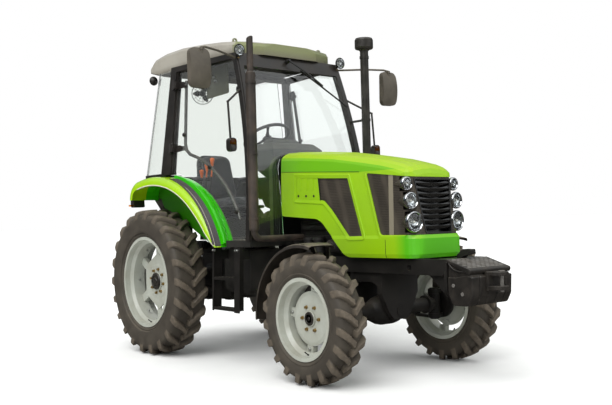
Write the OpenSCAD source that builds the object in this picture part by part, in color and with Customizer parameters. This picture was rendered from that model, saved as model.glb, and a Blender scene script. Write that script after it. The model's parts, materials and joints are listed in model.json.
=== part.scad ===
// Compact four-wheel-drive farm tractor with a glazed cab.
// X points forward, Y to the tractor's left and Z up. The origin is on the
// ground under the middle of the overall length. Inside every module the X
// values are measured forward from the rear axle.

/* [Overall] */
// Distance between the rear and the front axle
wheelbase = 1990; // [1900:5:2400]
// How far the lower links reach behind the rear axle
rear_reach = 780; // [740:5:900]
// How far the tow jaw reaches ahead of the front axle
front_reach = 1050; // [1000:5:1300]

/* [Rear wheels] */
// Distance between the rear tyres' centre planes
rear_track = 1400; // [1380:5:1700]
// Radius over the lugs of a rear tyre
rear_tyre_r = 600; // [560:1:640]
// Section width of a rear tyre
rear_tyre_w = 280; // [230:1:290]
// Radius of the rear rim at its flange
rear_rim_r = 374; // [340:1:400]
// Width of the rear rim over its flanges
rear_rim_w = 234; // [190:1:240]

/* [Front wheels] */
// Distance between the front tyres' centre planes
front_track = 1332; // [1320:2:1500]
// Radius over the lugs of a front tyre
front_tyre_r = 434; // [400:1:450]
// Section width of a front tyre
front_tyre_w = 212; // [170:1:220]
// Radius of the front rim at its flange
front_rim_r = 272; // [240:1:285]
// Width of the front rim over its flanges
front_rim_w = 188; // [150:1:192]
// Distance between the two steering kingpins
kingpin_span = 1030; // [1000:2:1040]

/* [Hood] */
// Height of the hood's top at its rear edge
hood_rear_z = 1606; // [1540:2:1700]
// Height of the hood lip above the grille
hood_nose_z = 1366; // [1320:2:1420]
// Height of the lower edge of the hood's front band
hood_low_z = 812; // [790:2:840]
// Half width of the hood at its rear edge
hood_rear_hw = 304; // [270:2:320]
// Half width of the hood at its nose
hood_nose_hw = 240; // [220:2:270]
// How far the nose reaches ahead of the front axle
hood_nose_reach = 540; // [500:5:620]
// Thickness of the hood skin
hood_skin = 5; // [4:0.5:7]

/* [Cab] */
// Height of the cab floor and the door sill
floor_z = 940; // [900:5:980]
// Height of the underside of the roof
roof_z = 2380; // [2340:5:2550]
// Half width of the cab over the rear pillars at mid height
cab_hw = 640; // [600:2:680]
// Inward lean of the cab's sides from bottom to top, in degrees
cab_lean = 5.4; // [3:0.1:8]
// Narrowing of the cab toward the front on each side, in degrees
cab_taper = 6; // [3:0.1:8]
// Thickness of the glass
glass_t = 5; // [4:0.5:6]
// Gap round each door
door_gap = 8; // [7:0.5:10]

/* [Running fits] */
// Radial clearance of a pin or shaft in its bore
fit = 0.05; // [0.02:0.01:0.1]

/* [Hidden] */
$fn = 48;

rear_axle_x = (rear_reach - front_reach - wheelbase) / 2;
rear_hub_z = rear_tyre_r;
front_hub_z = front_tyre_r;
nose_x = wheelbase + hood_nose_reach;
frame_hw = 195;
trunnion_r = 36;
// gap between neighbours that are bolted or glued together
seat_gap = 0.3;

module from_axle() { translate([rear_axle_x, 0, 0]) children(); }
module flip() { mirror([0, 1, 0]) children(); }
module both() { children(); flip() children(); }
// side profile (x, z) extruded from y0 to y1
module along_y(y0, y1) {
    translate([0, y1, 0]) rotate([90, 0, 0]) linear_extrude(y1 - y0) children();
}
// front profile (y, z) extruded from x0 to x1
module along_x(x0, x1) {
    translate([x0, 0, 0]) rotate([90, 0, 90]) linear_extrude(x1 - x0) children();
}
// plan (x, y) extruded from z0 to z1
module along_z(z0, z1) { translate([0, 0, z0]) linear_extrude(z1 - z0) children(); }
module box(a, b) { translate(a) cube(b - a); }
module rod(a, b, r) { cone(a, b, r, r); }
// round bar from a to b whose radius goes from ra to rb
module cone(a, b, ra, rb) {
    d = b - a;
    translate(a) rotate([0, acos(d[2] / norm(d)), atan2(d[1], d[0])])
        cylinder(r1 = ra, r2 = rb, h = norm(d));
}
// bar turned about the line from a to b; columns of p: distance from a, radius
module turned(a, b, p) {
    d = b - a;
    translate(a) rotate([0, acos(d[2] / norm(d)), atan2(d[1], d[0])]) rotate_extrude()
        polygon(concat([[0, p[0][0]]], [for (q = p) [q[1], q[0]]], [[0, p[len(p) - 1][0]]]));
}
// bent tube through points, with a ball in each bend
module tube(path, r) {
    for (k = [1:len(path) - 1]) rod(path[k - 1], path[k], r);
    if (len(path) > 2) for (k = [1:len(path) - 2]) translate(path[k]) sphere(r = r * 1.02);
}
// outline (radius, y) turned about the axis through p along Y
module spun(p) { translate(p) rotate([-90, 0, 0]) rotate_extrude() children(); }
// disc of radius r from y0 to y1, on the axis through x, z
module drum(x, z, y0, y1, r) { translate([x, y0, z]) rotate([-90, 0, 0]) cylinder(r = r, h = y1 - y0); }

function unit(v) = v / norm(v);
// points of the arc of radius r that rounds the corner b between a and c
bend_steps = 5;
function bend(a, b, c, r) =
    let (u = unit(a - b), w = unit(c - b), half = acos(u * w) / 2,
         o = b + unit(u + w) * r / sin(half),
         p = b + u * r / tan(half) - o, q = b + w * r / tan(half) - o,
         from = atan2(p[1], p[0]),
         turn = (atan2(q[1], q[0]) - from + 540) % 360 - 180)
    [for (k = [0:bend_steps]) o + r * [cos(from + turn * k / bend_steps),
        sin(from + turn * k / bend_steps)]];
function flat(p) = [p[0], p[1]];
// closed outline; columns: across, up, radius of the corner if it is rounded
function rounded(p) = [for (k = [0:len(p) - 1])
    let (n = len(p), b = flat(p[k]))
    each (p[k][2] ? bend(flat(p[(k + n - 1) % n]), b, flat(p[(k + 1) % n]), p[k][2]) : [b])];
module shape(p) { polygon(rounded(p)); }
// mirrored outline: half is given on the positive side, from the bottom up
function doubled(p) = concat(p, [for (k = [len(p) - 1:-1:0]) [-p[k][0], p[k][1], p[k][2]]]);
// mirrored plan: half is given on the left side, from the rear forward
function twin(p) = concat(p, [for (k = [len(p) - 1:-1:0]) [p[k][0], -p[k][1], p[k][2]]]);
// skin through equal rings of points, closed by its two end rings
module loft(rings) {
    n = len(rings[0]);
    m = len(rings);
    polyhedron(
        points = [for (ring = rings) each ring], faces = concat(
            [[for (k = [0:n - 1]) k]], [for (j = [0:m - 2]) for (k = [0:n - 1])
                let (a = j * n + k, b = j * n + (k + 1) % n)
                each [[a, a + n, b], [b, a + n, b + n]]],
            [[for (k = [n - 1:-1:0]) (m - 1) * n + k]]));
}

// ---------------------------------------------------------------- drive line
axle_r = 38;
trumpet_end = 585;
rear_spindle_end = rear_track / 2 - 6;
case_hw = 149;
lower_pin = [-95, 190, 430];
rock_pin = [-150, 0, 880];
shaft_z = 610;
case_side = [[-200, 440, 30], [290, 430, 30], [335, 462, 25], [750, 462, 30], [900, 440, 60],
    [1150, 478], [1150, 815], [1010, 812, 60], [760, 775, 60], [330, 770, 30],
    [280, 805, 25], [-200, 805, 25]];
case_plan = twin([[-200, 132, 15], [-170, case_hw, 15], [285, case_hw, 25], [335, 118, 25],
    [750, 118, 40], [980, 172, 60], [1150, 178]]);
module transmission() {
    color("#1c1b19") from_axle() {
        // gear case: side outline, plan and rounded cross-section together
        intersection() {
            along_y(-200, 200) shape(case_side);
            along_z(400, 850) shape(case_plan);
            along_x(-210, 1160) shape(doubled([[185, 425, 70], [185, 830, 60]]));
        }
        // bolted joints between the castings
        for (f = [[285, 168, 424, 800, 45], [742, 138, 446, 792, 45], [1150, 182, 460, 824, 60]])
            along_x(f[0], f[0] + 22) shape(doubled([[f[1], f[2], f[4]], [f[1], f[3], f[4]]]));
        // stiffening ribs of the gear case
        both() for (x = [400, 490, 580, 670]) along_x(x, x + 12)
            shape([[100, 470], [134, 500, 10], [134, 735, 10], [100, 768]]);
        // lift cover over the rear case
        along_y(-112, 112)
            shape([[60, 790], [60, 832, 12], [-80, 862, 20], [-105, 905, 18],
                [-190, 905, 25], [-232, 850, 15], [-232, 790]]);
        // rock shaft of the lift
        drum(rock_pin[0], rock_pin[2], -175, 175, 24);
        // lower link pins and their bosses
        both() {
            drum(lower_pin[0], lower_pin[2], 90, case_hw, 36);
            drum(lower_pin[0], lower_pin[2], 110, 220, 14);
        }
        // power take-off shaft, its cover plate and shield
        translate([-300, 0, shaft_z]) rotate([0, 90, 0]) cylinder(r = 17.45, h = 110);
        translate([-216, 0, shaft_z]) rotate([0, 90, 0]) cylinder(r = 62, h = 20);
        along_x(-330, -196) difference() {
            shape(doubled([[84, 585], [84, 676, 26]]));
            shape(doubled([[78, 584], [78, 670, 20]]));
        }
        // top link bracket with its pin
        both() along_y(26, 38)
            shape([[-190, 700], [-190, 795], [-250, 775, 18], [-275, 745, 18], [-250, 715, 18]]);
        drum(-248, 745, -38, 38, 9.5);
        // drawbar
        difference() {
            union() {
                along_z(395, 425) shape([[-420, -38, 30], [120, -38], [120, 38], [-420, 38, 30]]);
                along_z(395, 450) shape(twin([[40, 60, 10], [120, 60, 10]]));
            }
            translate([-385, 0, 390]) cylinder(r = 14, h = 40);
        }
        // front cab mounts
        both() along_x(690, 750)
            shape([[80, 720], [118, 690], [170, 820, 20], [180, floor_z - 50],
                [60, floor_z - 50], [70, 790, 10]]);
        // transfer case under the clutch housing
        along_y(-80, 80) shape([[900, 470], [930, 400, 25], [1150, 400, 8], [1150, 480]]);
    }
}

// columns: radius, distance from the tractor's centre plane
trumpet = [[0, case_hw], [122, case_hw], [122, 168], [96, 176], [82, 230], [68, 330], [64, 500],
    [74, 540], [104, 558], [104, trumpet_end], [axle_r + 14, trumpet_end],
    [axle_r + 14, trumpet_end + 1], [axle_r, trumpet_end + 1], [axle_r, rear_spindle_end],
        [0, rear_spindle_end]];
module rear_axle() {
    color("#1c1b19") from_axle() both() {
        spun([0, 0, rear_hub_z]) polygon(trumpet);
        // brackets that carry the rear of the cab
        along_x(-35, 35)
            shape([[330, 640], [470, 640], [455, 720, 25], [440, 1100], [370, 1100], [350, 720, 25]]);
        along_x(-60, 60) polygon([[320, 655], [480, 655], [480, 680], [320, 680]]);
    }
}

module engine_block() {
    color("#1c1b19") from_axle() {
        // crankcase and sump
        intersection() {
            along_y(-200, 200) shape([[1172, 500], [1300, 478, 40], [1600, 478, 40], [1680, 540, 40],
                [1790, 560], [1790, 960, 20], [1172, 960]]);
            along_x(1160, 1800) shape(doubled([[105, 470, 20], [130, 580, 20], [160, 620, 20],
                [160, 970]]));
        }
        // cylinder head and rocker cover
        along_x(1215, 1780) shape(doubled([[118, 950], [118, 1060, 14], [92, 1090, 10], [86, 1150, 30]]));
        // pulley, filters and alternator on the sides of the block
        translate([1790, 0, 700]) rotate([0, 90, 0]) cylinder(r = 85, h = 28);
        translate([1790, 0, 950]) rotate([0, 90, 0]) cylinder(r = 60, h = 28);
        for (x = [1420, 1530]) translate([x, -204, 832]) {
            cylinder(r = 40, h = 95);
            translate([0, 0, 95]) cylinder(r = 46, h = 18);
        }
        box([1400, -205, 936], [1550, -150, 950]);
        rod([1640, -185, 884], [1780, -185, 884], 50);
        rod([1620, -185, 884], [1640, -185, 884], 28);
        both() along_x(1280, 1720) shape([[100, 985], [150, 1000, 14], [150, 1040, 14], [100, 1045]]);
        // radiator, its shroud and the fan ring
        box([wheelbase + 210, -frame_hw, 810.3], [wheelbase + 272, frame_hw, 1270]);
        along_x(wheelbase + 130, wheelbase + 210) difference() {
            shape(doubled([[175, 830, 40], [175, 1225, 40]]));
            translate([0, 1030]) circle(r = 160);
        }
        // hoses from the head to the radiator
        tube([[1740, 60, 1110], [1900, 60, 1170], [wheelbase + 212, 60, 1190]], 24);
        rod([1800, -60, 860], [wheelbase + 212, -60, 880], 24);
    }
}

rail_outline = [[1172, 700], [1300, 690, 40], [1560, 690, 30], [1640, 706, 30], [nose_x + 185, 706, 20],
    [nose_x + 185, 810], [1172, 810]];
module front_frame() {
    color("#171614") from_axle() {
        both() difference() {
            along_y(175, frame_hw) shape(rail_outline);
            for (x = [1330, 1520, wheelbase + 430]) drum(x, 752, 170, 200, 22);
        }
        for (x = [1840, wheelbase + 320]) box([x, -175.5, 700], [x + 40, 175.5, 809]);
        // pivot cradle of the front axle
        difference() {
            for (x = [-160, 110]) along_x(wheelbase + x, wheelbase + x + 45)
                shape(doubled([[62, 378, 30], [110, 430, 60], [176, 560, 30], [176, 809]]));
            translate([wheelbase - 200, 0, front_hub_z]) rotate([0, 90, 0])
                cylinder(r = trunnion_r + seat_gap, h = 400);
        }
        both() along_y(150, 175.5) shape([[wheelbase - 150, 600], [wheelbase - 60, 640, 60],
            [wheelbase + 60, 640, 60], [wheelbase + 145, 600], [wheelbase + 145, 809],
                [wheelbase - 150, 809]]);
        // nose plate that carries the weights, with its tapered gussets
        along_x(nose_x + 185, nose_x + 209.7)
            shape(doubled([[110, 540, 20], [frame_hw, 600, 40], [frame_hw, 810]]));
        both() along_y(150, 168) polygon([[nose_x + 40, 706], [nose_x + 190, 706], [nose_x + 190, 570]]);
        // keeper that locks the weights
        along_y(-25, 25) shape([[nose_x + 150, 800], [nose_x + 178, 800], [nose_x + 200, 823],
            [nose_x + 262, 838, 10],
            [nose_x + 262, 868, 10], [nose_x + 200, 868, 10], [nose_x + 150, 830, 10]]);
        box([nose_x + 100, -175.5, 790], [nose_x + 186, 175.5, 809]);
    }
}

weight_back = nose_x + 210;
weight_t = 76;
weight_pitch = 80;
tread_ribs = 7;
// side of one weight from its mounting hook, with ribs cut across the sloping top
function weight_side() = concat(
    rounded([[0, 600], [40, 526, 30], [160, 526, 30], [194, 590, 30], [202, 735, 12]]),
    [for (k = [0:tread_ribs - 1]) let (s = 176 - k * 22)
        each [[s, 762 + (176 - s) * 0.3], [s - 2, 767 + (176 - s) * 0.3], [s - 12, 768 + (176 - s) * 0.3],
            [s - 14, 765 + (176 - s) * 0.3]]],
    [[8, 815], [0, 812]]);
tow_x = wheelbase + front_reach;
module front_weights() {
    color("#26241f") from_axle() {
        difference() {
            for (k = [-2:2]) translate([weight_back, 0, 0])
                along_y(k * weight_pitch - weight_t / 2,
                    k * weight_pitch + weight_t / 2) polygon(weight_side());
            // hand hold under the top bar
            translate([weight_back, 0, 0]) along_y(-210, 210)
                shape([[24, 782, 12], [60, 742, 26], [150, 716, 10], [166, 728, 8], [130, 756, 20]]);
        }
        // rod that ties the weights together
        drum(weight_back + 60, 640, -202, 202, 14);
        // tow jaw
        difference() {
            union() {
                along_z(620, 735) shape([[weight_back + 180, -44], [tow_x, -40, 26], [tow_x, 40, 26],
                    [weight_back + 180, 44]]);
            }
            box([weight_back + 210, -60, 650], [tow_x + 1, 60, 705]);
            translate([tow_x - 30, 0, 600]) cylinder(r = 12, h = 200);
        }
    }
}

// ---------------------------------------------------------------- front axle
kp_r = 22;
boss_r = 44;
boss_half = 72;
arm_t = 34;
arm_gap = 1;
pin_half = boss_half + arm_gap + arm_t;
// columns: radius, distance from the tractor's centre plane
axle_tube = [[0, 0], [104, 0], [104, 50], [96, 90], [64, 160], [54, 210], [50, kingpin_span / 2 - 115],
    [66, kingpin_span / 2 - 108], [66, kingpin_span / 2 - 86], [50, kingpin_span / 2 - 78],
    [46, kingpin_span / 2 - 30], [0, kingpin_span / 2 - 30]];
module front_axle() {
    color("#191816") from_axle() translate([wheelbase, 0, front_hub_z]) {
        both() {
            spun([0, 0, 0]) polygon(axle_tube);
            translate([0, kingpin_span / 2, -boss_half]) cylinder(r = boss_r, h = 2 * boss_half);
            translate([0, kingpin_span / 2, -pin_half + 2]) cylinder(r = kp_r, h = 2 * pin_half - 4);
        }
        rotate([0, 90, 0]) translate([0, 0, -160]) cylinder(r = trunnion_r, h = 320);
        rotate([0, 90, 0]) cylinder(r1 = 92, r2 = 70, h = 95);
        // drive shaft in its fixed cover tube
        cone([-160, 0, 0], [-200, 0, 0], 34, 24);
        rod([-200, 0, 0], [1150.3 - wheelbase, 0, 0], 24);
    }
}

// right-hand knuckle, origin at the kingpin axis at hub height
spindle_r = 26;
front_hub_y = front_track / 2;
knuckle_face = 118;
spindle_end = front_hub_y - kingpin_span / 2 + 14;
tie_arm = 170;
tie_pin_r = 9;
tie_low = -pin_half;
tie_top = -86.5;
// columns: radius, distance outward from the kingpin
knuckle_drum = [[0, 58], [66, 58], [104, 66], [112, 74], [112, 92], [78, 106], [60, knuckle_face],
    [spindle_r, knuckle_face], [spindle_r, spindle_end], [0, spindle_end]];
module knuckle_shape() {
    difference() {
        union() {
            for (s = [-1, 1]) translate([0, 0, s * (boss_half + arm_gap + arm_t / 2)]) {
                translate([0, 0, -arm_t / 2]) cylinder(r = 46, h = arm_t);
                along_z(-arm_t / 2, arm_t / 2) shape([[-46, 0], [-30, -74], [30, -74], [46, 0]]);
            }
            along_x(-30, 30) shape([[-60, -pin_half], [-92, -pin_half, 30], [-92, pin_half, 30],
                [-60, pin_half]]);
            rotate([90, 0, 0]) rotate_extrude() polygon(knuckle_drum);
            for (s = [-1, 1]) translate([0, 0, s * (pin_half + 4) - 4]) cylinder(r = 34, h = 8);
            // steering arm with the tie rod's pin
            along_z(tie_low, tie_top - seat_gap) shape([[-20, -34], [-tie_arm - 24, -16, 16],
                [-tie_arm - 24, 20, 16], [-20, 34]]);
            translate([-tie_arm, 0, tie_low]) cylinder(r = tie_pin_r, h = 46);
        }
        translate([0, 0, -pin_half + 1]) cylinder(r = kp_r + fit, h = 2 * pin_half - 2);
        // clearance round the axle end
        translate([0, 0, -boss_half - arm_gap]) cylinder(r = 58, h = 2 * (boss_half + arm_gap));
    }
}

module at_knuckle() {
    from_axle() translate([wheelbase, -kingpin_span / 2, front_hub_z]) children();
}
module right_knuckle() { color("#191816") at_knuckle() knuckle_shape(); }
module left_knuckle() { color("#191816") flip() at_knuckle() knuckle_shape(); }

module tie_rod() {
    color("#1c1b19") from_axle() translate([wheelbase - tie_arm, 0, front_hub_z]) {
        difference() {
            union() {
                both() {
                    translate([0, kingpin_span / 2, tie_top]) cylinder(r = 21, h = 24);
                    cone([0, kingpin_span / 2 - 15, tie_top + 12], [0, kingpin_span / 2 - 90,
                        tie_top + 12], 12, 11);
                    rod([0, kingpin_span / 2 - 150, tie_top + 12], [0, kingpin_span / 2 - 85,
                        tie_top + 12], 14);
                }
                rod([0, -kingpin_span / 2 + 100, tie_top + 12], [0, kingpin_span / 2 - 100,
                    tie_top + 12], 11);
            }
            both() translate([0, kingpin_span / 2, -200]) cylinder(r = tie_pin_r + fit, h = 200);
        }
    }
}

guard_r = front_tyre_r + 58;
guard_hw = front_tyre_w / 2 + 7;
guard_t = 4;
// columns: radius drop, distance from the guard's middle
guard_section = [[26, -guard_hw], [8, -guard_hw + 3], [0, -guard_hw + 22], [-2, 0], [0, guard_hw - 22],
    [8, guard_hw - 3], [26, guard_hw], [26, guard_hw - guard_t], [8 + guard_t, guard_hw - 8],
    [guard_t, guard_hw - 26], [guard_t - 2, 0], [guard_t, -guard_hw + 26], [8 + guard_t, -guard_hw + 8],
    [26, -guard_hw + guard_t]];
module mudguard_shape() {
    y = front_hub_y - kingpin_span / 2;
    translate([0, -y, 0]) rotate([90, 0, 0]) rotate([0, 0, 76])
        rotate_extrude(angle = 108, $fn = 120) polygon([for (p = guard_section) [guard_r - p[0], p[1]]]);
    // stay from the top of the knuckle to the guard, inside the tyre
    along_y(-37, -27) shape([[-40, pin_half + 8.3], [40, pin_half + 8.3], [34, 190, 20],
        [58, guard_r - 5], [26, guard_r - 3], [0, 250, 20], [-110, guard_r - 16],
            [-150, guard_r - 27], [-34, 190, 20]]);
    for (a = [5, -16.5]) rotate([0, a, 0])
        box([-18, -y - guard_hw + 12, guard_r - guard_t - 2.5], [18, -28, guard_r - guard_t + 3]);
}
module right_mudguard() { color("#1a1a1a") at_knuckle() mudguard_shape(); }
module left_mudguard() { color("#1a1a1a") flip() at_knuckle() mudguard_shape(); }

// -------------------------------------------------------------------- wheels
flange_t = 6;
well_drop = 46;
// Rolled rim without its disc, turned about Y; +Y is the outer side.
module barrel(r, w) {
    t = flange_t;
    well = r - well_drop;
    rotate([-90, 0, 0]) rotate_extrude($fn = 96) polygon([
        [r, -w / 2], [r, -w / 2 + t], [r - 18, -w / 2 + t], [r - 22, -w / 2 + 40],
        [r - 26, -w / 2 + 44], [well, -w / 2 + 62], [well, w / 2 - 62], [r - 26, w / 2 - 44],
            [r - 22, w / 2 - 40],
        [r - 18, w / 2 - t], [r, w / 2 - t], [r, w / 2],
        [r - 24, w / 2], [r - 28, w / 2 - 44], [well - t, w / 2 - 66],
        [well - t, -w / 2 + 66], [r - 28, -w / 2 + 44], [r - 24, -w / 2]]);
}
disc_t = 10;
// lug that joins the disc's edge at radius ri to the barrel of radius ro
module rim_lug(ri, ro, y, w) {
    along_y(y - disc_t / 2 - 8, y - disc_t / 2)
        shape([[ri - 34, -w / 2, 12], [ro, -w / 2], [ro, w / 2], [ri - 34, w / 2, 12]]);
    for (s = [-1, 1]) along_y(y - 44, y - disc_t / 2 - 4)
        polygon([[ri + 8, s * w / 2 - 4], [ro, s * w / 2 - 4], [ro, s * w / 2 + 4],
            [ri + 8, s * w / 2 + 4]]);
}
// columns: radius, distance outward from the disc's middle plane
function dish(edge, hub, rise) = [[0, disc_t / 2], [hub, disc_t / 2], [hub + 34, disc_t / 2],
    [hub + 46, disc_t / 2 - rise],
    [edge, disc_t / 2 - rise], [edge, -disc_t / 2 - rise], [hub + 40, -disc_t / 2 - rise],
        [hub + 28, -disc_t / 2], [0, -disc_t / 2]];

module at_rear_left() { from_axle() translate([0, rear_track / 2, rear_hub_z]) children(); }
module at_front_left() { from_axle() translate([wheelbase, front_track / 2, front_hub_z]) children(); }
rear_disc_y = -8;
rear_hub_in = trumpet_end - rear_track / 2 + 2;
rear_hub_out = rear_disc_y + 20;
rear_disc_corner = 236;
module rear_rim() {
    barrel(rear_rim_r, rear_rim_w);
    for (k = [0:5]) rotate([0, 30 + 60 * k, 0])
        rim_lug(rear_disc_corner - 12, rear_rim_r - well_drop - 1, rear_disc_y, 64);
    difference() {
        union() {
            intersection() {
                spun([0, rear_disc_y, 0]) polygon(dish(rear_disc_corner + 10, 102, 4));
                along_y(-60, 60) shape([for (k = [0:5])
                    [rear_disc_corner * cos(60 * k + 30), rear_disc_corner * sin(60 * k + 30), 46]]);
            }
            spun([0, 0, 0]) polygon([[0, rear_hub_in], [88, rear_hub_in], [88, rear_hub_in + 22],
                [66, rear_hub_in + 34], [66, rear_disc_y - 22], [112, rear_disc_y - 18], [112, rear_disc_y],
                [78, rear_disc_y], [78, rear_hub_out - 6], [70, rear_hub_out], [0, rear_hub_out]]);
        }
        drum(0, 0, rear_hub_in - 1, rear_spindle_end - rear_track / 2 + 1, axle_r + fit);
    }
}
front_disc_y = 8;
front_hub_in = knuckle_face + kingpin_span / 2 - front_track / 2 + 2;
front_disc_r = 178;
module front_rim() {
    barrel(front_rim_r, front_rim_w);
    for (k = [0:3]) rotate([0, 8 + 90 * k, 0])
        rim_lug(front_disc_r - 4, front_rim_r - well_drop - 1, front_disc_y, 56);
    difference() {
        spun([0, 0, 0]) polygon(concat(
            [[0, front_hub_in], [62, front_hub_in], [62, front_disc_y - disc_t / 2],
                [front_disc_r - 26, front_disc_y - disc_t / 2],
                [front_disc_r - 6, front_disc_y - disc_t / 2 - 6], [front_disc_r,
                    front_disc_y - disc_t / 2 - 4],
                [front_disc_r, front_disc_y + disc_t / 2 - 6], [front_disc_r - 22,
                    front_disc_y + disc_t / 2]],
            [[50, front_disc_y + disc_t / 2], [50, front_disc_y + disc_t / 2 + 12],
                [42, front_disc_y + disc_t / 2 + 18], [0, front_disc_y + disc_t / 2 + 18]]));
        drum(0, 0, front_hub_in - 1, spindle_end - front_hub_y + kingpin_span / 2 + 1, spindle_r + fit);
    }
}
module tyre(r, w, rim_r, rim_w) {
    b = rim_r - 18;
    rotate([-90, 0, 0]) rotate_extrude($fn = 96) polygon([
        [b + 0.3, -rim_w / 2 + 6.3], [rim_r + 2, -rim_w / 2 + 6.3], [rim_r + 14, -rim_w / 2 - 2],
        [rim_r + 60, -w / 2 + 2], [rim_r + 100, -w / 2], [r - 52, -w / 2 + 6],
        [r - 14, -w / 2 + 22], [r, -w / 4], [r, w / 4], [r - 14, w / 2 - 22],
        [r - 52, w / 2 - 6], [rim_r + 100, w / 2], [rim_r + 60, w / 2 - 2],
        [rim_r + 14, rim_w / 2 + 2], [rim_r + 2, rim_w / 2 - 6.3], [b + 0.3, rim_w / 2 - 6.3],
        [b - 3.5, rim_w / 2 - 39.5], [rim_r + 10, rim_w / 2 - 50],
        [r - 60, w / 2 - 50], [r - 40, 0], [r - 60, -w / 2 + 50],
        [rim_r + 10, -rim_w / 2 + 50], [b - 3.5, -rim_w / 2 + 39.5]]);
}
module left_rear_rim() { color("#b4b8ae") at_rear_left() rear_rim(); }
module right_rear_rim() { color("#b4b8ae") flip() at_rear_left() rear_rim(); }
module left_front_rim() { color("#b4b8ae") at_front_left() front_rim(); }
module right_front_rim() { color("#b4b8ae") flip() at_front_left() front_rim(); }
module rear_tyre() { tyre(rear_tyre_r, rear_tyre_w, rear_rim_r, rear_rim_w); }
module front_tyre() { tyre(front_tyre_r, front_tyre_w, front_rim_r, front_rim_w); }
module left_rear_tyre() { color("#4a4038") at_rear_left() rear_tyre(); }
module right_rear_tyre() { color("#4a4038") flip() at_rear_left() rear_tyre(); }
module left_front_tyre() { color("#4a4038") at_front_left() front_tyre(); }
module right_front_tyre() { color("#4a4038") flip() at_front_left() front_tyre(); }

// ---------------------------------------------------------------------- hood
hood_rear_x = 1205;
lip_back = 60;
lip_x = nose_x - lip_back;
hinge_x = hood_rear_x + 18;
hinge_z = hood_rear_z - 30;
hinge_pin_r = 7;
// outlines on the hood's side are drawn for this length and this rise, and follow the hood's size
drawn_len = 1325;
drawn_rise = 554;
function hood_x(x) = hood_rear_x + (x - 1205) * (nose_x - hood_rear_x) / drawn_len;
function hood_z(z) = hood_low_z + (z - 812) * (hood_nose_z - hood_low_z) / drawn_rise;
function on_hood(p) = rounded([for (q = p) [hood_x(q[0]), hood_z(q[1]), q[2]]]);

// walls, columns: height, nose plane back from nose_x, inset of the side
hood_levels = [[700, 12, 9], [812, 12, 9], [838, 0, 0], [940, 0, 0], [962, 11, 8], [1366, lip_back, 12],
    [1720, lip_back + 30, 24]];
nose_round = 88;
nose_steps = 6;
function wall_ring(l, d) =
    let (z = hood_z(l[0]), x = nose_x - l[1] - d, y = hood_nose_hw - l[2] - d, r = nose_round - d / 2)
    concat([[hood_rear_x - 60, -hood_rear_hw + l[2] + d, z]],
        [for (k = [0:nose_steps]) let (a = 90 * k / nose_steps) [x - r + r * sin(a), -y + r - r * cos(a),
            z]],
        [for (k = [nose_steps:-1:0]) let (a = 90 * k / nose_steps) [x - r + r * sin(a),
            y - r + r * cos(a), z]],
        [[hood_rear_x - 60, hood_rear_hw - l[2] - d, z]]);
// crown, columns: share of the length to the lip, share of the drop to the lip
crown_stations = [[-0.05, -0.02], [0.154, 0.054], [0.325, 0.137], [0.431, 0.192], [0.636, 0.36],
    [0.794, 0.504], [0.913, 0.654], [0.962, 0.75], [0.99, 0.87], [1, 1], [1.1, 1.2]];
// half section, columns: share of the half width, height below the top
crown_half = [[0.385, 6], [0.4, 9], [0.66, 16], [0.8, 31], [0.9, 56], [0.955, 90], [1.14, 150]];
function crown_ring(s, d) =
    let (x = hood_rear_x + s[0] * (lip_x - hood_rear_x),
        z = hood_rear_z + 2 - s[1] * (hood_rear_z - hood_nose_z) - d,
         hw = hood_rear_hw - s[0] * (hood_rear_hw - hood_nose_hw) - d)
    concat([[x, 1.14 * hw, 600]], [for (k = [6:-1:0]) [x, crown_half[k][0] * hw, z - crown_half[k][1]]],
        [[x, 0, z]], [for (c = crown_half) [x, -c[0] * hw, z - c[1]]], [[x, -1.14 * hw, 600]]);
// outer form of the whole hood, drawn in by d
module hood_form(d) {
    intersection() {
        loft([for (l = hood_levels) wall_ring(l, d)]);
        loft([for (s = crown_stations) crown_ring(s, d)]);
    }
}

hood_side = [[1205, 1800], [1205, 1112, 22], [1622, 1082, 150], [1888, 812, 100], [2700, 812],
    [2700, 1800]];
window_outline = [[1611, 1400, 8], [1922, 1381, 24], [2066, 946, 20], [1922, 944, 40], [1750, 1138, 90],
    [1636, 1201, 24]];
recess_outline = [[1350, 1421, 6], [1936, 1390, 22], [2084, 930, 22], [1910, 926, 46], [1734, 1124, 90],
    [1664, 1186, 30], [1348, 1208, 12]];
front_opening = [[2092, 1386, 10], [2214, 963.5, 34], [2700, 963.5], [2700, 1342], [2476, 1342]];
louvre_ribs = [1412, 1479, 1546];
louvre_hw = 15;
press_depth = 3;
band_seam = 2262;
module louvre_shape() {
    for (x = louvre_ribs) polygon(on_hood([[x - louvre_hw, 1296, 12], [x + louvre_hw, 1294, 12],
        [x + louvre_hw - 2, 1394, 12], [x - louvre_hw - 2, 1395, 12]]));
}
module hood_shell() {
    color("#8fc400") from_axle() {
        difference() {
            intersection() {
                hood_form(0);
                along_y(-400, 400) polygon(on_hood(hood_side));
            }
            difference() {
                hood_form(hood_skin);
                both() along_y(100, 400) polygon(on_hood(recess_outline));
            }
            // pressed panel with its louvre ribs, and the panel joints
            difference() {
                both() along_y(100, 400) {
                    difference() {
                        polygon(on_hood(recess_outline));
                        louvre_shape();
                    }
                    polygon([for (p = [[1190, 1450], [1600, 1425], [2030, 1400], [2030, 1397],
                        [1600, 1422], [1190, 1447]])
                        [hood_x(p[0]), hood_z(p[1])]]);
                    translate([hood_x(band_seam), 700]) square([3, hood_z(962) - 700]);
                }
                hood_form(press_depth);
            }
            hood_form(hood_skin + press_depth);
            along_y(-400, 400) {
                polygon(on_hood(window_outline));
                polygon(on_hood(front_opening));
            }
        }
        // hinge bosses under the rear edge
        both() difference() {
            union() {
                drum(hinge_x, hinge_z, 150, 180, 14);
                box([hinge_x - 11, 150, hinge_z], [hinge_x + 11, 180, hinge_z + 14]);
            }
            drum(hinge_x, hinge_z, 149, 181, hinge_pin_r + fit);
        }
    }
}

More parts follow.
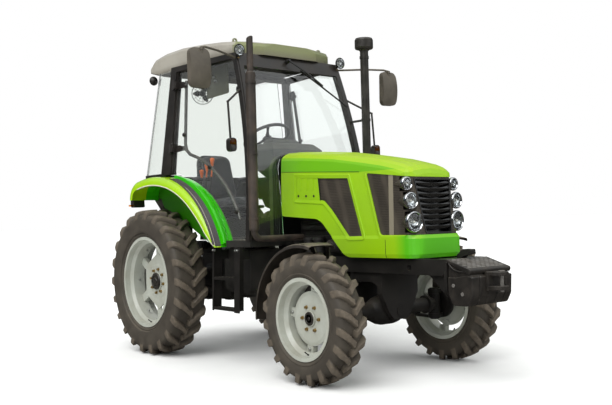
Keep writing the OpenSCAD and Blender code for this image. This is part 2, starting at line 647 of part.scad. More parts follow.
mesh_t = 4;
// columns: back from the nose plane, half spacing, height, lamp radius
lamp_rows = [[68, 229, 1297, 46], [39, 223, 1185, 57], [27, 210, 1047, 70]];
lamp_turn = 5;
lamp_depth = 30;
module at_lamp(l) { translate([nose_x - l[0], l[1], hood_z(l[2])]) rotate([0, 90, lamp_turn]) children(); }
// layer of mesh under the skin, d below the outer form
module mesh_layer(d) {
    difference() {
        hood_form(d);
        hood_form(d + mesh_t);
    }
}
window_cover = [[1580, 1416, 8], [1950, 1396, 24], [2092, 934, 20], [1910, 930, 40], [1722, 1130, 90],
    [1606, 1188, 24]];
front_cover = [[2068, 1400, 10], [2186, 952, 34], [2700, 952], [2700, 1352], [2476, 1352]];
module hood_mesh() {
    color("#3a332c") from_axle() {
        intersection() {
            mesh_layer(hood_skin + press_depth + seat_gap);
            along_y(-400, 400) polygon(on_hood(window_cover));
        }
        difference() {
            intersection() {
                mesh_layer(hood_skin + seat_gap);
                along_y(-400, 400) polygon(on_hood(front_cover));
            }
            grille_prism(seat_gap);
            both() for (l = lamp_rows) at_lamp(l) translate([0, 0, -80]) cylinder(r = l[3] + seat_gap,
                h = 160);
        }
        // pods behind the lamps
        both() for (l = lamp_rows) let (r = l[3] - 10, z = -lamp_depth - seat_gap)
            at_lamp(l) rotate_extrude() polygon([[0, z], [r, z], [r - 4, z - 20], [r * 0.3, z - 90],
                [0, z - 90]]);
    }
}
module headlights() {
    color("#d8dadc") from_axle() both() for (l = lamp_rows) let (r = l[3])
        at_lamp(l) rotate_extrude()
            polygon([[0, -lamp_depth], [r - 9, -lamp_depth], [r - 2, -lamp_depth + 8],
                [r, -lamp_depth + 18], [r - 1, -6], [r - 4, 0],
                [r - 8, 1], [r - 11, -2], [r - 13, -9], [r / 2, -5.5], [0, -4.5]]);
}

grille_low_hw = 126;
grille_hw = 176;
grille_low = 967;
grille_lean = 8;
grille_h = 366;
slat_r = 700;
slat_count = 9;
slat_h = 21;
// grille outline seen from ahead, drawn out by d
module grille_front(d) {
    shape(doubled([[grille_low_hw + d, -d, 12], [grille_hw + d, grille_h + d, 8]]));
}
module at_grille() {
    translate([nose_x - 34, 0, hood_z(grille_low)]) rotate([0, -grille_lean, 0]) children();
}
module grille_prism(d) { at_grille() along_x(-150, 100) grille_front(d); }
module hood_grille() {
    color("#151515") from_axle() at_grille() {
        along_x(-40, -34) grille_front(0);
        // rim
        along_x(-36, 22) difference() { grille_front(0); grille_front(-8); }
        // slats that sag toward the middle
        intersection() {
            along_x(-40, 22) grille_front(-4);
            for (k = [0:slat_count - 1]) let (z = 22 + (grille_h - 44) * (k + 0.5) / slat_count)
                intersection() {
                    along_x(-36, 18) difference() {
                        translate([0, z + slat_r - slat_h / 2]) circle(r = slat_r, $fn = 200);
                        translate([0, z + slat_r + slat_h / 2]) circle(r = slat_r, $fn = 200);
                        translate([-500, z + 60]) square([1000, 2000]);
                    }
                    along_y(-200, 200) polygon([[-36, z - 40], [0, z - 40], [18, z + 10],
                        [8, z + 40], [-36, z + 40]]);
                }
        }
    }
}

// ----------------------------------------------------------------------- cab
b_x = 180;
b_z = 1700;
// flat slab along the cab's right side, between two distances outward from its middle plane
module side_slab(inner, outer) {
    at_side(b_x, b_z) box([-1200, -outer, -1500], [1700, -inner, 1500]);
}
// everything on the centre side of the right-hand slab's inner face
module inside_right(inner) {
    at_side(b_x, b_z) box([-1200, -inner, -1500], [1700, 1600, 1500]);
}
// point of the leaning side plane at x and z, moved inward by v
function on_side(x, z, v) =
    let (w = (z - b_z + v * sin(cab_lean)) / cos(cab_lean),
         y = v * cos(cab_lean) + w * sin(cab_lean),
         u = (x - b_x + y * sin(cab_taper)) / cos(cab_taper))
    [x, -cab_hw + u * sin(cab_taper) + y * cos(cab_taper), z];
// frame lying in the side plane: X forward, Y inward, Z up along the side
module at_side(x, z) {
    translate(on_side(x, z, 0)) rotate([0, 0, cab_taper]) rotate([-cab_lean, 0, 0]) children();
}
// front pillar line: an arc in side view, bulging forward
a_low = [1222, 940];
a_mid = [1150, 1640];
a_top = [938, 2400];
function circle_of(p, q, r) =
    let (d = 2 * (p[0] * (q[1] - r[1]) + q[0] * (r[1] - p[1]) + r[0] * (p[1] - q[1])),
         pp = p * p, qq = q * q, rr = r * r,
         cx = (pp * (q[1] - r[1]) + qq * (r[1] - p[1]) + rr * (p[1] - q[1])) / d,
         cy = (pp * (r[0] - q[0]) + qq * (p[0] - r[0]) + rr * (q[0] - p[0])) / d)
    [cx, cy, norm(p - [cx, cy])];
a_arc = circle_of(a_low, a_mid, a_top);
a_from = asin((a_low[1] - a_arc[1]) / a_arc[2]) - 0.6;
a_to = asin((a_top[1] - a_arc[1]) / a_arc[2]) + 0.6;
a_steps = 14;
function a_point(r, k) =
    let (a = a_from + (a_to - a_from) * k / a_steps)
    [a_arc[0] + r * cos(a), a_arc[1] + r * sin(a)];
// strip of the pillar line between two offsets, forward positive
module front_strip(from, to) {
    polygon([for (k = [0:a_steps]) a_point(a_arc[2] + from, k),
        for (k = [a_steps:-1:0]) a_point(a_arc[2] + to, k)]);
}
pillar_out = 25;
pillar_in = -25;
post_hw = 28;
// how deep the headers end inside the posts
header_end = pillar_in + 3;
// front post: a deep rolled section with a narrower outer face
module front_post() {
    for (f = [[-post_hw, post_hw, pillar_in, 12], [-post_hw + 7, post_hw - 7, 11, pillar_out]])
        intersection() {
            side_slab(f[2], f[3]);
            along_y(-900, 0) front_strip(f[0], f[1]);
            box([600, -900, floor_z], [1500, 0, roof_z]);
        }
}
module front_header() {
    intersection() {
        along_y(-700, 700) front_strip(-post_hw, post_hw);
        box([600, -700, 2275], [1200, 700, roof_z]);
        inside_right(header_end);
        flip() inside_right(header_end);
    }
}
hinge_rows = [-10, 520];
hinge_r = 6;
hinge_out = 41;
sill_z = 1480;
sill_back = -370;
rear_corner_r = 140;
function rear_half_width(z) = cab_hw + pillar_in - (z - b_z) * tan(cab_lean);
// plan of the rear sill, moved outward by d
function sill_plan(d) = let (y = rear_half_width(1500) + d, x = sill_back - d, r = rear_corner_r + d)
    rounded([[150, -y], [150, y], [x, y, r], [x, -y, r]]);
module cab_frame() {
    color("#23211f") from_axle() {
        both() {
            front_post();
            // rear pillar on the sill, with a seal land along its front edge
            for (f = [[95, 150, 224, pillar_out], [200, 200, 235, 14]]) intersection() {
                side_slab(pillar_in, f[3]);
                along_y(-900, 0) polygon([[f[0], sill_z], [f[2], sill_z], [f[2], roof_z], [f[1], roof_z]]);
            }
            // door hinge pins
            for (w = hinge_rows) at_hinge(w) {
                translate([0, 0, -44]) cylinder(r = hinge_r, h = 88);
                for (s = [-1, 1]) translate([0, 0, s * 37.5]) {
                    translate([0, 0, -6]) cylinder(r = 12, h = 12);
                    box([-12, 0, -6], [10, hinge_out - 24, 6]);
                }
            }
            // roof rail
            intersection() {
                side_slab(pillar_in, pillar_out);
                along_y(-900, 0) polygon([[220, 2335], [948, 2335], [930, roof_z], [220, roof_z]]);
            }
        }
        // headers across the front and the rear
        front_header();
        intersection() {
            box([150, -700, 2340], [235, 700, roof_z]);
            inside_right(header_end);
            flip() inside_right(header_end);
        }
        // sill rail under the rear glass and the shelf beside the seat
        along_z(sill_z - 0.5, 1499.7) difference() {
            polygon(sill_plan(10));
            polygon(sill_plan(-25));
            translate([96, -900]) square([200, 1800]);
        }
        along_z(tub_top + seat_gap, sill_z) difference() {
            polygon(sill_plan(6));
            translate([tub_back + 8, -tub_hw + 8]) square([900, 2 * tub_hw - 16]);
        }
    }
}

// rear edge of the roof, and where its underside starts to rise towards it
roof_tail = [-442, 2432];
roof_heel = -250;
function roof_under(x) = roof_z + (roof_tail[1] - roof_z) * (roof_heel - x) / (roof_heel - roof_tail[0]);
roof_edge_r = 60;
// columns: distance ahead of the axle, half width, underside and crown above roof_z
roof_stations = [[-382, 496, 52, 118], [-300, 506, 30, 160], [-190, 506, 0, 174], [-96, 510, 0, 182],
    [157, 510, 0, 182], [473, 508, 0, 157], [695, 506, 0, 132], [855, 500, 0, 108], [940, 310, 0, 98]];
module cab_roof() {
    color("#c9c5bc") from_axle() {
        hull() both() for (s = roof_stations) {
            translate([s[0], s[1] - roof_edge_r, roof_z + s[2]]) cylinder(r = roof_edge_r,
                h = s[3] - s[2] - 34, $fn = 32);
            translate([s[0], s[1] - roof_edge_r - 12, roof_z + s[3] - 20]) cylinder(r = roof_edge_r - 6,
                h = 12, $fn = 32);
            translate([s[0], s[1] - roof_edge_r - 90, roof_z + s[3] - 1]) cylinder(r = roof_edge_r,
                h = 1, $fn = 32);
        }
        // lifting eyes
        both() along_x(829, 841) difference() {
            shape([[400, 2470], [456, 2470], [446, 2521, 16], [410, 2521, 16]]);
            translate([428, 2504]) circle(r = 9);
        }
    }
}

tub_hw = 540;
tub_back = -330;
tub_top = 1472;
arch_c = [130, 600];
tub_arch_r = 846;
tub_low = [[tub_back, 1296], [-175, 1296], [-125, 1216], [27, 1169], [640, 892]];
module cab_floor() {
    color("#1b1b1a") from_axle() {
        along_z(floor_z - 50, floor_z) difference() {
            shape(twin([[640, tub_hw - 8.3], [952, tub_hw - 8.3], [952, 640, 12], [1238, 615]]));
            translate([1100, -330]) square([200, 660]);
        }
        // tub between the rear wheels: side walls, seat platform, rear wall
        both() along_y(tub_hw - 8, tub_hw)
            polygon(concat([[tub_back, tub_top]], tub_low,
                [for (k = [0:20]) let (a = 20.6 + 69.4 * k / 20) arch_c + tub_arch_r * [cos(a), sin(a)]],
                [[arch_c[0], tub_top]]));
        along_y(-tub_hw + 8, tub_hw - 8)
            polygon([[640, 890], [640, 940], [420, 940], [420, 1100], [-100, 1100], [tub_back, 1300],
                [tub_back, tub_top],
                [tub_back + 8, tub_top], [tub_back + 8, 1304], [-96, 1108], [428, 1108], [428, 948],
                    [648, 948], [648, 890]]);
        // pressed ribs of the rear wall and the raised mat rails
        both() for (y = [130, 290, 450]) along_y(y - 18, y + 18)
            polygon([[tub_back + 6, 1330], [tub_back + 14, 1342], [tub_back + 14, 1448],
                [tub_back + 6, 1460]]);
        for (x = [680, 760, 840, 920, 1000]) box([x, -300, floor_z - 1], [x + 30, 300, floor_z + 4]);
    }
}

function cowl_side(d) = concat(
    [[hood_rear_hw - 8 + d, floor_z], [hood_rear_hw - 8 + d, hood_rear_z - 130]],
    [for (k = [5:-1:0]) [crown_half[k][0] * (hood_rear_hw - 8 + d), hood_rear_z - crown_half[k][1] + d]]);
module cowl_outline(d) {
    polygon(concat(cowl_side(d), [for (k = [7:-1:0]) let (p = cowl_side(d)[k]) [-p[0], p[1]]]));
}
module cowl() {
    color("#5f7030") from_axle() {
        along_x(1060, 1100) cowl_outline(0);
        // hood hinge arms with their pins
        both() {
            along_y(120, 145) shape([[1090, 1488], [hinge_x + 13, 1502, 10],
                [hinge_x + 13, hinge_z + 10, 12],
                [hinge_x - 13, hinge_z + 10, 12], [hinge_x - 20, 1530, 10], [1090, 1526]]);
            drum(hinge_x, hinge_z, 130, 184, hinge_pin_r);
        }
    }
    // rubber bellows between the cab and the hood
    color("#141414") from_axle() for (x = [1100, 1124, 1148]) {
        along_x(x, x + 12) difference() { cowl_outline(0); cowl_outline(-26); }
        along_x(x + 11, x + 24.5) difference() { cowl_outline(-6); cowl_outline(-26); }
    }
}

module windscreen() {
    color("#9fb4c0", 0.4) from_axle() difference() {
        intersection() {
            along_y(-700, 700) front_strip(-glass_t / 2, glass_t / 2);
            box([600, -700, floor_z + 0.3], [1500, 700, 2275]);
            inside_right(pillar_in);
            flip() inside_right(pillar_in);
        }
        along_x(900, 1400) cowl_outline(0.3);
    }
}

module rear_plan(d, z, back) {
    for (m = [-1, 1]) {
        hw = rear_half_width(z) - d;
        translate([back + rear_corner_r + d, m * (hw - rear_corner_r),
            z]) cylinder(r = rear_corner_r - d, h = 1);
        translate([150, m * hw - (m > 0 ? 1 : 0), z]) cube([1, 1, 1]);
    }
}
module rear_window() {
    color("#9fb4c0", 0.4) from_axle() difference() {
        hull() { rear_plan(0, 1500, sill_back); rear_plan(0, roof_z - 1.3, -250); }
        hull() { rear_plan(glass_t, 1499, sill_back); rear_plan(glass_t, roof_z, -250); }
        box([94.7, -700, 1400], [300, 700, 2500]);
        both() along_y(-700, -500) polygon([[94.7, 1489], [94.7, 1400], [400, 1400], [400, 2600],
            [149.7, 2600], [149.7, roof_z]]);
    }
}

// --------------------------------------------------------------------- doors
door_arch_r = 905;
// door outline in side view
module door_outline() {
    difference() {
        shape([[243, 1480], [243, 2326, 14], [1240, 2326], [1240, floor_z + 6], [900, floor_z + 6]]);
        front_strip(-post_hw - door_gap, 400);
        translate(arch_c) circle(r = door_arch_r, $fn = 200);
    }
}
tube_in = 16;
door_tube_r = 13;
// tube behind the glass: down the rear edge, then forward round the arch
door_bow_r = 1075;
door_path = concat([[315, 2250], [335, 1950], [350, 1730], [372, 1672]],
    [for (k = [0:8]) let (a = 74.35 - 46.85 * k / 8) arch_c + door_bow_r * [cos(a), sin(a)]]);
clamps = [[318, 2205], [345, 1800], arch_c + door_bow_r * [cos(58), sin(58)],
    arch_c + door_bow_r * [cos(31), sin(31)]];
clamp_r = 8;
// lower and upper hinge: how far forward the inner leaf reaches to the tube
leaf_reach = [150, 108];
leaf_bolts = [62, 84];
leaf_bolt_r = 6;
module at_hinge(w) {
    at_side(b_x, b_z) translate([40, -hinge_out, w]) children();
}
// the glass's holes for its clamps and hinge bolts, widened by d
module door_holes(d) {
    for (c = clamps) at_side(c[0], c[1]) rotate([90, 0, 0]) translate([0, 0,
        -20]) cylinder(r = clamp_r + d, h = 40);
    for (w = hinge_rows) for (b = leaf_bolts) at_hinge(w)
        translate([b, hinge_out - 20, 0]) rotate([-90, 0, 0]) cylinder(r = leaf_bolt_r + d, h = 40);
}
module right_door_frame_shape() {
    half_gap = glass_t / 2 + seat_gap;
    tube([for (p = door_path) on_side(p[0], p[1], tube_in)], door_tube_r);
    for (c = clamps) at_side(c[0], c[1]) rotate([-90, 0, 0]) {
        translate([0, 0, -half_gap - 7]) cylinder(r = clamp_r, h = half_gap + 7 + tube_in);
        translate([0, 0, -half_gap - 7]) cylinder(r1 = 13, r2 = 17, h = 7);
        translate([0, 0, half_gap]) cylinder(r = 15, h = 8);
    }
    difference() {
        for (k = [0, 1]) at_hinge(hinge_rows[k]) {
            translate([0, 0, -30]) cylinder(r = 13, h = 60);
            box([0, -7, -30], [40, 7, 30]);
            box([26, 0, -30], [40, hinge_out - half_gap, 30]);
            // outer and inner leaf, bolted through the glass
            along_y(hinge_out - half_gap - 6, hinge_out - half_gap)
                shape([[26, -30], [104, -24, 12], [104, 24, 12], [26, 30]]);
            along_y(hinge_out + half_gap, hinge_out + half_gap + 6)
                shape([[50, -22, 8], [leaf_reach[k], -18, 0], [leaf_reach[k], 18, 0], [50, 22, 8]]);
            for (b = leaf_bolts) translate([b, hinge_out - half_gap - 10, 0]) rotate([-90, 0, 0])
                cylinder(r = leaf_bolt_r, h = 2 * half_gap + 14);
        }
        for (w = hinge_rows) at_hinge(w) translate([0, 0, -40]) cylinder(r = hinge_r + fit, h = 80);
    }
}
module right_door_glass_shape() {
    difference() {
        intersection() {
            side_slab(-glass_t / 2, glass_t / 2);
            along_y(-900, -300) door_outline();
        }
        door_holes(seat_gap);
    }
}
module right_door_frame() { color("#1b1b1a") from_axle() right_door_frame_shape(); }
module left_door_frame() { color("#1b1b1a") from_axle() flip() right_door_frame_shape(); }
module right_door_glass() { color("#a9c4a0", 0.4) from_axle() right_door_glass_shape(); }
module left_door_glass() { color("#a9c4a0", 0.4) from_axle() flip() right_door_glass_shape(); }

// ------------------------------------------------------------------- fenders
fender_skin = 4;
fender_in = tub_hw + seat_gap;
shoulder_steps = 8;
// columns: angle about arch_c, radius of the top, outer half width, radius of the outer lip
arch_table = [[20, 852, 722, 846], [24, 852, 738, 825], [30, 852, 750, 806], [43, 852, 770, 800],
    [53, 852, 780, 799],
    [63, 853, 790, 798], [76, 858, 800, 796], [90, 866, 820, 795], [106, 872, 840, 794]];
function arch_at(a, column) = lookup(a, [for (row = arch_table) [row[0], row[column]]]);
tail_r = 165;
tail_from = 106;
tail_c = arch_c + (arch_at(tail_from, 1) - tail_r) * [cos(tail_from), sin(tail_from)];
tail_skirt = arch_at(tail_from, 1) - arch_at(tail_from, 3);
// ring of the skin in the plane that turns about c to the angle a
function fender_ring(c, a, r, out, skirt) =
    let (s = min(55, 0.85 * skirt), t = min(fender_skin, s / 2),
         p = concat([[r - t, fender_in], [r, fender_in]],
            [for (k = [0:shoulder_steps]) [r - s, out - s] + s * [cos(90 * k / shoulder_steps),
                sin(90 * k / shoulder_steps)]],
            [[r - skirt, out], [r - skirt, out - t]], [for (k = [shoulder_steps:-1:0])
                [r - s, out - s] + (s - t) * [cos(90 * k / shoulder_steps), sin(90 * k / shoulder_steps)]]))
    [for (q = p) [c[0] + q[0] * cos(a), q[1], c[1] + q[0] * sin(a)]];
arch_angles = [20, 22, 24, 27, 30, 35, 40, 45, 50, 55, 60, 65, 70, 75, 80, 85, 90, 95, 100];
tail_angles = [for (k = [0:12]) tail_from + 6 * k];
// columns: radius, distance from the tractor's centre plane
fender_ridge = [[840, 622], [882, 626], [884, 640], [882, 656], [840, 662]];
module fender_shape() {
    loft(concat(
        [for (a = arch_angles) fender_ring(arch_c, a, arch_at(a, 1), arch_at(a, 2), arch_at(a,
            1) - arch_at(a, 3))],
        [for (a = tail_angles) fender_ring(tail_c, a, tail_r, arch_at(tail_from, 2), tail_skirt)]));
    // step ridge beside the door
    translate([arch_c[0], 0, arch_c[1]]) rotate([90, 0, 0]) mirror([0, 0, 1])
        rotate([0, 0, 21.3]) rotate_extrude(angle = 61, $fn = 160) polygon(fender_ridge);
    // inner wall beside the tub
    along_y(fender_in, fender_in + fender_skin) polygon(concat(
        [for (a = arch_angles) arch_c + (arch_at(a, 1) - 2) * [cos(a), sin(a)]],
        [for (a = [106, 116, 126, 136, 146, 156, 166, 174]) tail_c + (tail_r - 2) * [cos(a), sin(a)]],
        [for (k = [1:4]) tub_low[k]]));
}
module rear_fenders() { color("#9ccf00") from_axle() both() fender_shape(); }

// --------------------------------------------------------------------- steps
step_in = 620;
step_out = 700;
// columns: height of the tread's top, rear end, front end
treads = [[440, 844, 1140], [667, 858, 1150]];
module steps() {
    color("#1a1a19") from_axle() both() {
        // narrow rear plate and wide front plate, both folded from sheet
        for (f = [[864, 840, 8], [1152, 1134, 8]]) along_y(step_in, step_out)
            polygon([[f[0], floor_z - 50.3], [f[0] + f[2], floor_z - 50.3], [f[1] + f[2], 420], [f[1],
                420]]);
        for (f = [[862, 22, 838, 20], [1150, 76, 1132, 68]]) along_y(step_out - 6, step_out)
            shape([[f[0], floor_z - 50.3, 0], [f[0] + f[1], floor_z - 50.3, 0], [f[2] + f[3], 412, 8],
                [f[2], 412, 8]]);
        // perforated treads
        for (t = treads) difference() {
            box([t[1], step_in, t[0] - 20], [t[2], step_out, t[0]]);
            box([t[1] + 6, step_in + 6, t[0] - 21], [t[2] - 6, step_out - 6, t[0] - 6]);
            for (k = [0:5]) for (y = [step_in + 14, step_in + 48])
                box([t[1] + 16 + 45 * k, y, t[0] - 10], [t[1] + 48 + 45 * k, y + 16, t[0] + 1]);
        }
        // brackets back to the tank
        for (x = [858, 1139]) box([x, tank_out + seat_gap, 800], [x + 12, step_in + 1, 870]);
    }
}
tank_out = 560;
module fuel_tank() {
    color("#1a1a19") from_axle() both() {
        along_y(290, tank_out) shape([[815, 560, 40], [1150, 545, 40], [1168, 872, 26], [812, 878, 26]]);
        for (x = [890, 1060]) along_y(278, tank_out + 0)
            shape([[x, 545, 10], [x + 36, 545, 10], [x + 36, 886, 10], [x, 886, 10]]);
        rod([1110, 470, 860], [1110, 470, 889], 30);
    }
}

// ------------------------------------------------------------------ interior
module seat() {
    color("#2b2a2c") from_axle() {
        // slide, suspension bellows and pan
        box([-70, -170, 1108.3], [310, 170, 1125]);
        for (z = [1124, 1146, 1168]) along_z(z, z + 23) shape([[-50 + (z - 1124) / 3, -145, 20],
            [290, -145, 20], [290, 145, 20], [-50 + (z - 1124) / 3, 145, 20]]);
        intersection() {
            along_y(-240, 240) shape([[-90, 1188, 20], [345, 1188, 30], [370, 1255, 30], [330, 1300, 30],
                [-60, 1282, 20], [-100, 1282, 10]]);
            along_z(1180, 1310) shape([[-110, -230, 60], [375, -240, 80], [375, 240, 80], [-110, 230, 60]]);
        }
        intersection() {
            along_y(-240, 240) shape([[-105, 1270, 20], [-5, 1270, 20], [-60, 1500, 60],
                [-105, 1690, 20], [-145, 1712, 14], [-185, 1700, 16], [-170, 1500, 60]]);
            along_x(-220, 40) shape(doubled([[225, 1265, 40], [232, 1500, 80], [185, 1715, 60]]));
        }
        // arm rests
        both() along_y(222, 270) shape([[-120, 1440, 14], [150, 1440, 20], [165, 1490, 18],
            [-120, 1485, 18]]);
    }
}
steering_tilt = 30;
steering_c = [650, 0, 1770];
steering_n = [-sin(steering_tilt), 0, cos(steering_tilt)];
module dashboard() {
    color("#4a4d42") from_axle() {
        intersection() {
            along_y(-260, 260) shape([[1059.7, 960], [1059.7, 1640], [990, 1697, 50],
                [800, 1697, 40], [735, 1640, 30], [790, 1500, 60], [900, 1400, 80], [940, 960]]);
            along_x(700, 1070) shape(doubled([[150, 950], [160, 1380, 80], [240, 1520, 60],
                [250, 1640, 40], [200, 1705, 60]]));
        }
        // binnacle hood round the instruments
        intersection() {
            along_y(-150, 150) shape([[770, 1650], [930, 1650], [900, 1735, 40], [790, 1745, 20]]);
            along_x(760, 940) shape(doubled([[150, 1640], [140, 1748, 70]]));
        }
        rod(steering_c - 350 * steering_n, steering_c - 45 * steering_n, 26);
        rod(steering_c - 350 * steering_n, steering_c - 4 * steering_n, 12);
    }
}
module steering_wheel() {
    color("#20201f") from_axle() translate(steering_c) rotate([0, -steering_tilt, 0]) {
        rotate_extrude($fn = 64) translate([190, 0]) circle(r = 13, $fn = 24);
        difference() {
            rotate_extrude() polygon([[0, -40], [30, -40], [36, -34], [40, 0], [34, 6], [20, 8], [0, 9]]);
            translate([0, 0, -41]) cylinder(r = 12 + fit, h = 38);
        }
        for (a = [90, 210, 330]) rotate([0, 0, a]) along_z(-9, -1)
            shape([[30, -18], [120, -9, 20], [184, -13], [184, 13], [120, 9, 20], [30, 18]]);
    }
}
// columns: foot x, head x, head height
levers = [[100, 150, 1470], [170, 235, 1520], [240, 320, 1560]];
lever_y = -330;
module control_levers() {
    color("#d2691e") from_axle() {
        along_y(lever_y - 30, lever_y + 30)
            shape([[60, 1108.3], [290, 1108.3], [280, 1170, 20], [180, 1210, 40], [70, 1180, 20]]);
        for (l = levers) {
            cone([l[0], lever_y, 1160], [l[1], lever_y, l[2]], 8, 6.5);
            translate([l[1], lever_y, l[2] - 6]) rotate_extrude()
                polygon([[0, 0], [9, 0], [13, 20], [19, 46], [19, 58], [14, 66], [0, 69]]);
        }
    }
}

// ------------------------------------------------------- stacks, lamps, trim
exhaust_p = [1290, -612];
intake_p = [1295, 530];
elbow_r = 60;
module exhaust_stack() {
    x = exhaust_p[0];
    y = exhaust_p[1];
    color("#3a3632") from_axle() {
        rod([x, -160.3, 950], [x, y + elbow_r, 950], 24);
        translate([x, y + elbow_r, 950 + elbow_r]) rotate([90, 0, 90]) rotate([0, 0, 180])
            rotate_extrude(angle = 90) translate([elbow_r, 0]) circle(r = 24);
        // pipe with an outlet cut on the slant
        difference() {
            translate([x, y, 950 + elbow_r]) cylinder(r = 24, h = 1430);
            translate([x, y, 2360]) cylinder(r = 20.5, h = 100);
            translate([x - 24, y, 2400]) rotate([0, -30, 0]) box([-80, -60, 0], [120, 60, 90]);
        }
        // heat shield and its bands
        translate([x, y, 1012]) cylinder(r = 34, h = 12);
        translate([x, y, 1022]) cylinder(r = 37, h = 1138);
        translate([x, y, 2158]) cylinder(r1 = 37, r2 = 28, h = 12);
        for (z = [1090, 1560, 2080]) translate([x, y, z]) {
            cylinder(r = 40, h = 16);
            box([36, -9, 0], [52, 9, 16]);
        }
    }
}
// columns: radius, height
rain_cap = [[0, 2446], [40, 2446], [44, 2452], [70, 2460], [75, 2470], [75, 2530], [68, 2545],
    [40, 2551], [0, 2551]];
module intake_stack() {
    x = intake_p[0];
    y = intake_p[1];
    color("#1d1c1a") from_axle() {
        rod([x, 150.3, 1000], [x, y - elbow_r, 1000], 34);
        translate([x, y - elbow_r, 1000 + elbow_r]) rotate([90, 0, 90]) rotate([0, 0, 270])
            rotate_extrude(angle = 90) translate([elbow_r, 0]) circle(r = 34);
        translate([x, y, 1000 + elbow_r]) cylinder(r = 34, h = 1390);
        translate([x, y, 0]) rotate_extrude() polygon(rain_cap);
        for (z = [1180, 1870, 2380]) translate([x, y, z]) cylinder(r = 38, h = 20);
        // stay to the cab's front post
        difference() {
            box([1105, y - 14, 1872], [x - 30, y + 6, 1888]);
            flip() front_post();
            along_y(400, 700) front_strip(-200, post_hw - 1);
        }
    }
}
mirror_c = [1145, 951, 2187];
module mirrors() {
    color("#2a2724") from_axle() both() {
        // shell: rounded outline with a bulged face
        intersection() {
            along_x(mirror_c[0] - 30, mirror_c[0] + 40) translate([mirror_c[1], mirror_c[2]])
                shape([[-85, -145, 40], [85, -140, 45], [85, 145, 45], [-78, 145, 40]]);
            translate([mirror_c[0] - 370, mirror_c[1], mirror_c[2]]) sphere(r = 404, $fn = 96);
        }
        // bent arm from the front post
        difference() {
            rod([955, 478, 2332], [1075, 745, 2347], 8);
            flip() front_post();
            box([800, 400, 2200], [960, 520, 2400]);
        }
        tube([[1075, 745, 2347], [1140, 900, 2346], [1160, 940, 2335], [1160, 942, 2300]], 8);
        translate([1075, 745, 2347]) sphere(r = 9);
        rod([1160, 942, 2318], [1160, 942, 2338], 13);
    }
}
module indicators() {
    color("#35322e") from_axle() both() {
        difference() {
            rod([1020, 500, 2100], [1160, 727, 1960], 8);
            flip() front_post();
            box([900, 300, 2000], [1030, 520, 2200]);
        }
        rod([1160, 727, 1960], [1185, 727, 1660], 8);
        translate([1160, 727, 1960]) sphere(r = 10);
        // oval lamp body, facing ahead
        along_x(1172, 1216) translate([727, 1640])
            shape([[-32, -50, 26], [32, -50, 26], [32, 50, 26], [-32, 50, 26]]);
        // rear lamps on the fender tails
        difference() {
            along_x(-288, -150) shape([[680, 1225, 14], [782, 1225, 14], [782, 1332, 14], [680, 1332, 14]]);
            drum(tail_c[0], tail_c[1], 600, 900, tail_r + seat_gap);
        }
    }
}
// columns: radius, distance back from the lens
lamp_bowl = [[0, -38], [16, -38], [22, -30], [40, -14], [48, -6], [48, 0], [44, 4], [40, 1], [0, 3]];
module work_lamps() {
    color("#d8dadc") from_axle() both() {
        translate([1019, 513, 2387]) rotate([0, 90, 0]) rotate_extrude() polygon(lamp_bowl);
        difference() {
            box([930, 492, 2342], [996, 508, 2376]);
            along_y(400, 700) front_strip(-200, post_hw);
        }
        translate([-402, 468, 2364]) rotate([0, -90, 0]) scale(0.85) rotate_extrude() polygon(lamp_bowl);
        along_y(460, 476)
            polygon([[-398, 2388], [-398, roof_under(-398)], [-376, roof_under(-376)], [-376, 2362]]);
    }
}

// --------------------------------------------------------------- rear hitch
link_end = [-rear_reach + 30, 340, 470];
arm_end = [-430, 135, 880];
rod_low = [-450, 290, 440];
rod_top = [-430, 166, 880];
// play left round the upper pin, where the linkage is opened
rod_drift = 9;
module lift_arms() {
    color("#1c1b19") from_axle() both() difference() {
        union() {
            drum(rock_pin[0], rock_pin[2], 120, 165, 40);
            along_y(135, 160) shape([[-150, 840], [-150, 920], [-290, 916, 60], [-430, 904],
                [-430, 856], [-300, 868, 60]]);
            drum(arm_end[0], arm_end[2], arm_end[1], arm_end[1] + 25, 24);
            drum(arm_end[0], arm_end[2], arm_end[1], arm_end[1] + 56, 8);
        }
        drum(rock_pin[0], rock_pin[2], 100, 200, 24 + fit);
    }
}
module lower_links() {
    color("#1c1b19") from_axle() both() {
        drum(rod_low[0], rod_low[2], rod_low[1] - 40, rod_low[1] + 22, 9);
        difference() {
            union() {
                drum(lower_pin[0], lower_pin[2], 150, 200, 30);
                turned([lower_pin[0] - 24, 175, lower_pin[2]], link_end + [24, 0, 0],
                    [[0, 14], [40, 20], [220, 20], [270, 17], [600, 17], [631, 14]]);
                spun(link_end - [0, 22, 0])
                    polygon([[0, 0], [22, 0], [28, 4], [31, 14], [31, 30], [28, 40], [22, 44], [0, 44]]);
            }
            drum(lower_pin[0], lower_pin[2], 100, 250, 14 + fit);
            drum(link_end[0], link_end[2], link_end[1] - 60, link_end[1] + 60, 11.2);
        }
    }
}
module lift_rods() {
    color("#1c1b19") from_axle() both() difference() {
        union() {
            drum(rod_low[0], rod_low[2], rod_low[1], rod_low[1] + 18, 18);
            drum(rod_top[0], rod_top[2], rod_top[1], rod_top[1] + 18, 30);
            // rod with a threaded sleeve
            turned(rod_low + [0, 9, 12], rod_top + [0, 9, -22],
                [[0, 11], [100, 11], [104, 17], [270, 17], [274, 11], [424, 11]]);
        }
        drum(rod_low[0], rod_low[2], rod_low[1] - 20, rod_low[1] + 40, 9 + fit);
        drum(rod_top[0], rod_top[2], rod_top[1] - 20, rod_top[1] + 40, 8 + rod_drift);
    }
}
